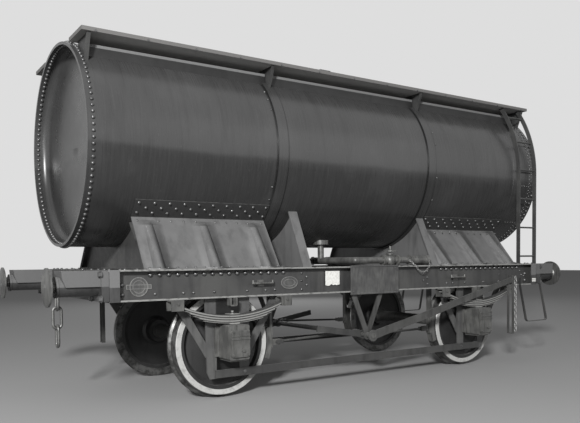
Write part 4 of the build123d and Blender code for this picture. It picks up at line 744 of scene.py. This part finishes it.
rivets("barrelRivets", mirrored(points), barrelRivets, "tankHead", "tank_paint")
print("rivets set")

# Hexagon bolts on the buffers' bases, the axleboxes, the tie bars' ends and the walkways' angles.
bufferBolts = {"x": 2.770, "y": (0.745, 0.990), "z": (0.958, 1.152), "headRadius": 0.023, "headHeight": 0.024}
points = []
for y in bufferBolts["y"]:
    points += onNearSide([bufferBolts["x"]], y, bufferBolts["z"], endwards)
bolts("bufferBolts", bothSides(mirrored(points)), bufferBolts, "frameHead")

boxBolts = {"across": 0.074, "z": (0.432, 0.640), "y": 1.138, "headRadius": 0.010, "headHeight": 0.012}
xs = [axle + side * boxBolts["across"] for axle in (-car["axleX"], car["axleX"]) for side in (-1, 1)]
points = onNearSide(xs, boxBolts["y"], boxBolts["z"])
bolts("axleboxBolts", bothSides(points), boxBolts, "running", "running_gear_iron")

tieBarBolts = {"inwards": 0.165, "y": 0.916, "z": 0.246, "headRadius": 0.013, "headHeight": 0.012}
tieBarEnd = car["axleX"] - tieBarBolts["inwards"]
points = onNearSide((-tieBarEnd, tieBarEnd), tieBarBolts["y"], [tieBarBolts["z"]])
bolts("tieBarBolts", bothSides(points), tieBarBolts, "frameHead")

walkBolts = {"y": 0.766, "z": 3.119, "ends": (-2.70, 2.70), "count": 13, "headRadius": 0.009,
             "headHeight": 0.008}
points = onNearSide(row(*walkBolts["ends"], walkBolts["count"]), walkBolts["y"], [walkBolts["z"]])
bolts("walkwayBolts", bothSides(points), walkBolts, "frameHead")
print("bolts set")


def meshPiece(name, places, faces, finish, slot, body="underframe_and_tank"):
    mesh = bpy.data.meshes.new(name)
    mesh.from_pydata([tuple(place) for place in places], [], faces)
    mesh.materials.append(finishes[finish])
    return settle(placed(name, mesh), body, slot)


# Where one ring of barrel plates laps over the next, and the two long laps on the near side. Each edge
# rises over a narrow lip, and the strip is sunk a little so that no gap shows under it.
laps = {"long": ((-0.910, 0.910), (1.054, 2.388)), "longAngles": (-11.0, -10.4), "ring": (2.388, 2.424),
        "ringAngles": (-37.0, 62.0), "proud": 0.003, "lip": 0.003, "sunk": 0.002, "degreesPerStep": 2}


# A closed strip over the barrel, from one x to another and one angle to another.
def overlay(name, xs, angles):
    steps = max(2, int(abs(angles[1] - angles[0]) / laps["degreesPerStep"]) + 1)
    lip, proud = laps["lip"], laps["proud"]
    rings = [(xs[0], 0.0), (xs[0] + lip, proud), (xs[1] - lip, proud), (xs[1], 0.0)]
    places, faces = [], []
    for x, height in rings:
        for index in range(steps + 1):
            place, out = onBarrel(x, angles[0] + (angles[1] - angles[0]) * index / steps)
            places.append(place + out * (height - laps["sunk"]))
    width = steps + 1
    for ring in range(len(rings)):
        following = (ring + 1) % len(rings)
        for index in range(steps):
            a, b = ring * width + index, following * width + index
            faces.append((a, b, b + 1, a + 1))
    faces.append([ring * width for ring in reversed(range(len(rings)))])
    faces.append([ring * width + steps for ring in range(len(rings))])
    return meshPiece(name, places, faces, "tank", "tank_paint")


for index, xs in enumerate(laps["long"]):
    overlay("longLap" + str(index + 1), xs, laps["longAngles"])
overlay("ringLap", laps["ring"], laps["ringAngles"])


# A raised rim on a plane that faces -Y. The outline function gives its corners at an inset from its outside.
def rim(name, outline, y, width, proud, finish, slot="plate_iron", slope=0.15):
    sections = ((0.0, 0.0), (width * slope, proud), (width * (1 - slope), proud), (width, 0.0))
    places = [(x, y - depth, z) for inset, depth in sections for x, z in outline(inset)]
    count = len(places) // len(sections)
    faces = []
    for section in range(len(sections)):
        following = (section + 1) % len(sections)
        for corner in range(count):
            after = (corner + 1) % count
            faces.append((section * count + corner, section * count + after, following * count + after,
                          following * count + corner))
    return meshPiece(name, places, faces, finish, slot)


def oblong(x, z):
    def outline(inset):
        return [(x[0] + inset, z[0] + inset), (x[1] - inset, z[0] + inset), (x[1] - inset, z[1] - inset),
                (x[0] + inset, z[1] - inset)]
    return outline


def oval(centre, radii, corners=44):
    def outline(inset):
        turns = [2 * pi * index / corners for index in range(corners)]
        wide, high = radii[0] - inset, radii[1] - inset
        return [(centre[0] + wide * cos(turn), centre[1] + high * sin(turn)) for turn in turns]
    return outline


# The notice board's rim, and the heads of its four screws.
board = {"x": (-0.248, 0.392), "z": (0.900, 1.194), "y": 0.985, "rim": 0.016, "proud": 0.007,
         "screwsIn": (0.034, 0.030), "headRadius": 0.008, "headHeight": 0.004}
rim("noticeBoardRim", oblong(board["x"], board["z"]), -board["y"], board["rim"], board["proud"], "plate")
xs, zs = ((low + inset, high - inset)
          for (low, high), inset in zip((board["x"], board["z"]), board["screwsIn"]))
rivets("noticeBoardScrews", onNearSide(xs, board["y"], zs), board, "plate", "plate_iron")

# A blank label of gummed paper in its clip, its foot torn by the weather.
label = {"x": (-0.520, -0.345), "z": (0.998, 1.142), "y": 0.9255, "thick": 0.0012, "across": 14, "up": 12,
         "swell": 0.0022, "swells": 3.0, "swellSeed": 1.7, "tear": 0.020, "tears": 5.0,
         "tearSeed": (0.3, 0.7), "tornShare": 0.35}
places, faces = [], []
for side in (0, 1):
    for j in range(label["up"] + 1):
        for i in range(label["across"] + 1):
            s, t = i / label["across"], j / label["up"]
            ragged = swells.noise(Vector((s * label["tears"], *label["tearSeed"]))) + label["tornShare"]
            torn = label["tear"] * max(0.0, ragged) * (1 - t) ** 2
            puffed = swells.noise(Vector((s * label["swells"], t * label["swells"], label["swellSeed"])))
            x = label["x"][0] + s * (label["x"][1] - label["x"][0])
            z = label["z"][0] + t * (label["z"][1] - label["z"][0]) + torn
            y = -label["y"] - label["swell"] * abs(puffed)
            places.append((x, y - side * label["thick"], z))
wide = label["across"] + 1
count = wide * (label["up"] + 1)
for j in range(label["up"]):
    for i in range(label["across"]):
        a = j * wide + i
        faces.append((a, a + wide, a + wide + 1, a + 1))
        faces.append((count + a, count + a + 1, count + a + wide + 1, count + a + wide))
edge = list(range(wide))
edge += [j * wide + wide - 1 for j in range(1, label["up"] + 1)]
edge += [label["up"] * wide + i for i in reversed(range(wide - 1))]
edge += [j * wide for j in reversed(range(1, label["up"]))]
for a, b in zip(edge, edge[1:] + edge[:1]):
    faces.append((a, b, count + b, count + a))
meshPiece("labelPaper", places, faces, "paper", "plate_iron")

# The rims cast on the round and the oval plate, which are left blank.
castRims = {
    "y": -0.9165,
    "proud": 0.0035,
    "ovals": (((-2.432, 1.043), (0.081, 0.081), 0.008), ((-2.432, 1.043), (0.055, 0.055), 0.006),
              ((-0.940, 1.040), (0.095, 0.059), 0.007), ((-0.940, 1.040), (0.066, 0.035), 0.006)),
    "barX": (-2.542, -2.322),
    "barZ": (1.0235, 1.0625),
    "barY": -0.9185,
    "barWidth": 0.006,
}
for index, (centre, radii, width) in enumerate(castRims["ovals"]):
    rim("castRim" + str(index + 1), oval(centre, radii), castRims["y"], width, castRims["proud"], "relief")
rim("castBarRim", oblong(castRims["barX"], castRims["barZ"]), castRims["barY"], castRims["barWidth"],
    castRims["proud"], "relief")

# Two strips of white paper gummed side by side at the right end of the frame.
strips = {"x": (2.626, 2.700), "z": ((0.962, 0.981), (0.985, 1.004)), "y": -0.9902, "thick": 0.0012}
for index, heights in enumerate(strips["z"]):
    corners = oblong(strips["x"], heights)(0.0)
    places = [(x, strips["y"] - depth, z) for depth in (0.0, strips["thick"]) for x, z in corners]
    faces = [(3, 2, 1, 0), (4, 5, 6, 7)] + [(i, (i + 1) % 4, (i + 1) % 4 + 4, i + 4) for i in range(4)]
    meshPiece("paperStrip" + str(index + 1), places, faces, "paper", "plate_iron")
print("labels set")


# Links along a route of straight stretches, one each pitch.
def chain(name, route, pitch, sizes):
    points, left = [], 0.0
    for start, end in zip(route, route[1:]):
        start, end = Vector(start), Vector(end)
        way = (end - start).normalized()
        along = left
        while along < (end - start).length:
            points.append((start + way * along, way))
            along += pitch
        left = along - (end - start).length
    return repeat(name, "link", points, sizes, "link", "running_gear_iron")


# The chain of the lever's pin, before the lever's guard, and the one that keeps the outlet's cap.
pinChain = {"top": (2.126, -1.128, 1.020), "foot": (2.126, -1.128, 0.400), "pitch": 0.036,
            "link": {"Link Length": 0.046, "Link Width": 0.026, "Wire Radius": 0.0048}}
chain("pinChain", [pinChain["top"], pinChain["foot"]], pinChain["pitch"], pinChain["link"])

capChain = {"start": (0.600, -0.9455, 1.236), "drop": 0.122, "reach": 0.285, "out": 0.048, "outBy": 2.5,
            "count": 15, "pitch": 0.020,
            "link": {"Link Length": 0.025, "Link Width": 0.015, "Wire Radius": 0.0022}}
route = []
for share in row(0.0, 1.0, capChain["count"]):
    sag = 4 * share * (1 - share)
    route.append((capChain["start"][0] + share * capChain["reach"],
                  capChain["start"][1] - min(1.0, capChain["outBy"] * sag) * capChain["out"],
                  capChain["start"][2] - sag * capChain["drop"]))
chain("capChain", route, capChain["pitch"], capChain["link"])
print("chains set")


# One for the rays that show the background: straight from the camera, off gloss or through glass.
def backgroundRay(add):
    ray = add("ShaderNodeLightPath").outputs
    seen = add("ShaderNodeMath", [ray["Is Camera Ray"], ray["Is Glossy Ray"]], operation="MAXIMUM")
    return add("ShaderNodeMath", [seen, ray["Is Transmission Ray"]], operation="MAXIMUM")


# Matt studio paper: one tone for the rays that show it, and a darker one for the light it throws back.
def backdropFinish(name, shown, bounced):
    finish, add, place = newFinish(name)
    colour = add("ShaderNodeMix", {0: backgroundRay(add), 6: toLinear(bounced), 7: toLinear(shown)},
                 data_type="RGBA")
    add("ShaderNodeOutputMaterial", {"Surface": add("ShaderNodeBsdfDiffuse", {"Color": colour})})
    return finish


# The floor and the background as they show, and the darker tones with which they light the car.
studio = {"floorHalf": 60.0, "floor": "#a2a2a2", "floorLight": "#3c3c3c", "background": "#dedede",
          "softLight": 0.22}
corners = [(-1, -1), (1, -1), (1, 1), (-1, 1)]
floorMesh = bpy.data.meshes.new("floor")
floorMesh.from_pydata([(x * studio["floorHalf"], y * studio["floorHalf"], 0) for x, y in corners], [],
                      [(0, 1, 2, 3)])
floor = placed("floor", floorMesh)
floorMesh.materials.append(backdropFinish("paleFloor", studio["floor"], studio["floorLight"]))

world = bpy.data.worlds.new("studio")
bpy.context.scene.world = world
world.use_nodes = True
world.node_tree.nodes.clear()
add = partial(addNode, world.node_tree)
soft = add("ShaderNodeBackground", {"Color": toLinear("#ffffff"), "Strength": studio["softLight"]})
shown = add("ShaderNodeBackground", {"Color": toLinear(studio["background"]), "Strength": 1.0})
mixed = add("ShaderNodeMixShader", [backgroundRay(add), soft, shown])
add("ShaderNodeOutputWorld", {"Surface": mixed})

# Square soft lamps: each one's place, what it points at, its width in metres and its power in watts.
lamps = {
    "keyLamp": ((-9.8, -10.6, 5.9), (-0.3, -0.6, 1.5), 1.4, 3000.0),
    "bounceLamp": ((-5.5, -9.5, 0.5), (0.0, -0.4, 2.7), 3.0, 190.0),
    "fillLamp": ((6.0, -10.0, 5.0), (0.5, 0.0, 1.5), 8.0, 120.0),
    "backLamp": ((7.0, 12.0, 5.5), (0.0, 0.6, 1.6), 6.0, 260.0),
}
for name, (place, target, width, power) in lamps.items():
    lamp = bpy.data.lights.new(name, "AREA")
    lamp.shape = "SQUARE"
    lamp.size = width
    lamp.energy = power
    holder = placed(name, lamp)
    holder.location = place
    holder.rotation_euler = (Vector(target) - Vector(place)).to_track_quat("-Z", "Y").to_euler()

# The camera's place and turn were found from the wheels, the solebar, the tank's end and its rings.
camera = {
    "place": (-4.41509, -6.09506, 1.24241),
    "yaw": 0.583549,
    "pitch": -0.0372263,
    "roll": -0.00976635,
    "focalPixels": 658.188,
    "centrePixel": (284.504, 285.811),
    "frame": (580, 423),
    "sensorWidth": 36.0,
    "clipEnd": 400.0,
}
forward = Vector((sin(camera["yaw"]) * cos(camera["pitch"]), cos(camera["yaw"]) * cos(camera["pitch"]),
                  sin(camera["pitch"])))
levelRight = Vector((cos(camera["yaw"]), -sin(camera["yaw"]), 0.0))
levelUp = levelRight.cross(forward)
right = cos(camera["roll"]) * levelRight + sin(camera["roll"]) * levelUp
up = -sin(camera["roll"]) * levelRight + cos(camera["roll"]) * levelUp
lens = bpy.data.cameras.new("camera")
holder = placed("camera", lens)
turn = Matrix((right, up, -forward)).transposed().to_4x4()
holder.matrix_world = Matrix.Translation(camera["place"]) @ turn
wide, high = camera["frame"]
lens.sensor_fit = "HORIZONTAL"
lens.sensor_width = camera["sensorWidth"]
lens.lens = camera["focalPixels"] / wide * camera["sensorWidth"]
lens.shift_x = (wide / 2 - camera["centrePixel"][0]) / wide
lens.shift_y = (camera["centrePixel"][1] - high / 2) / wide
lens.clip_end = camera["clipEnd"]
bpy.context.scene.camera = holder
bpy.context.scene.view_settings.view_transform = "Standard"
print("stage and camera set")
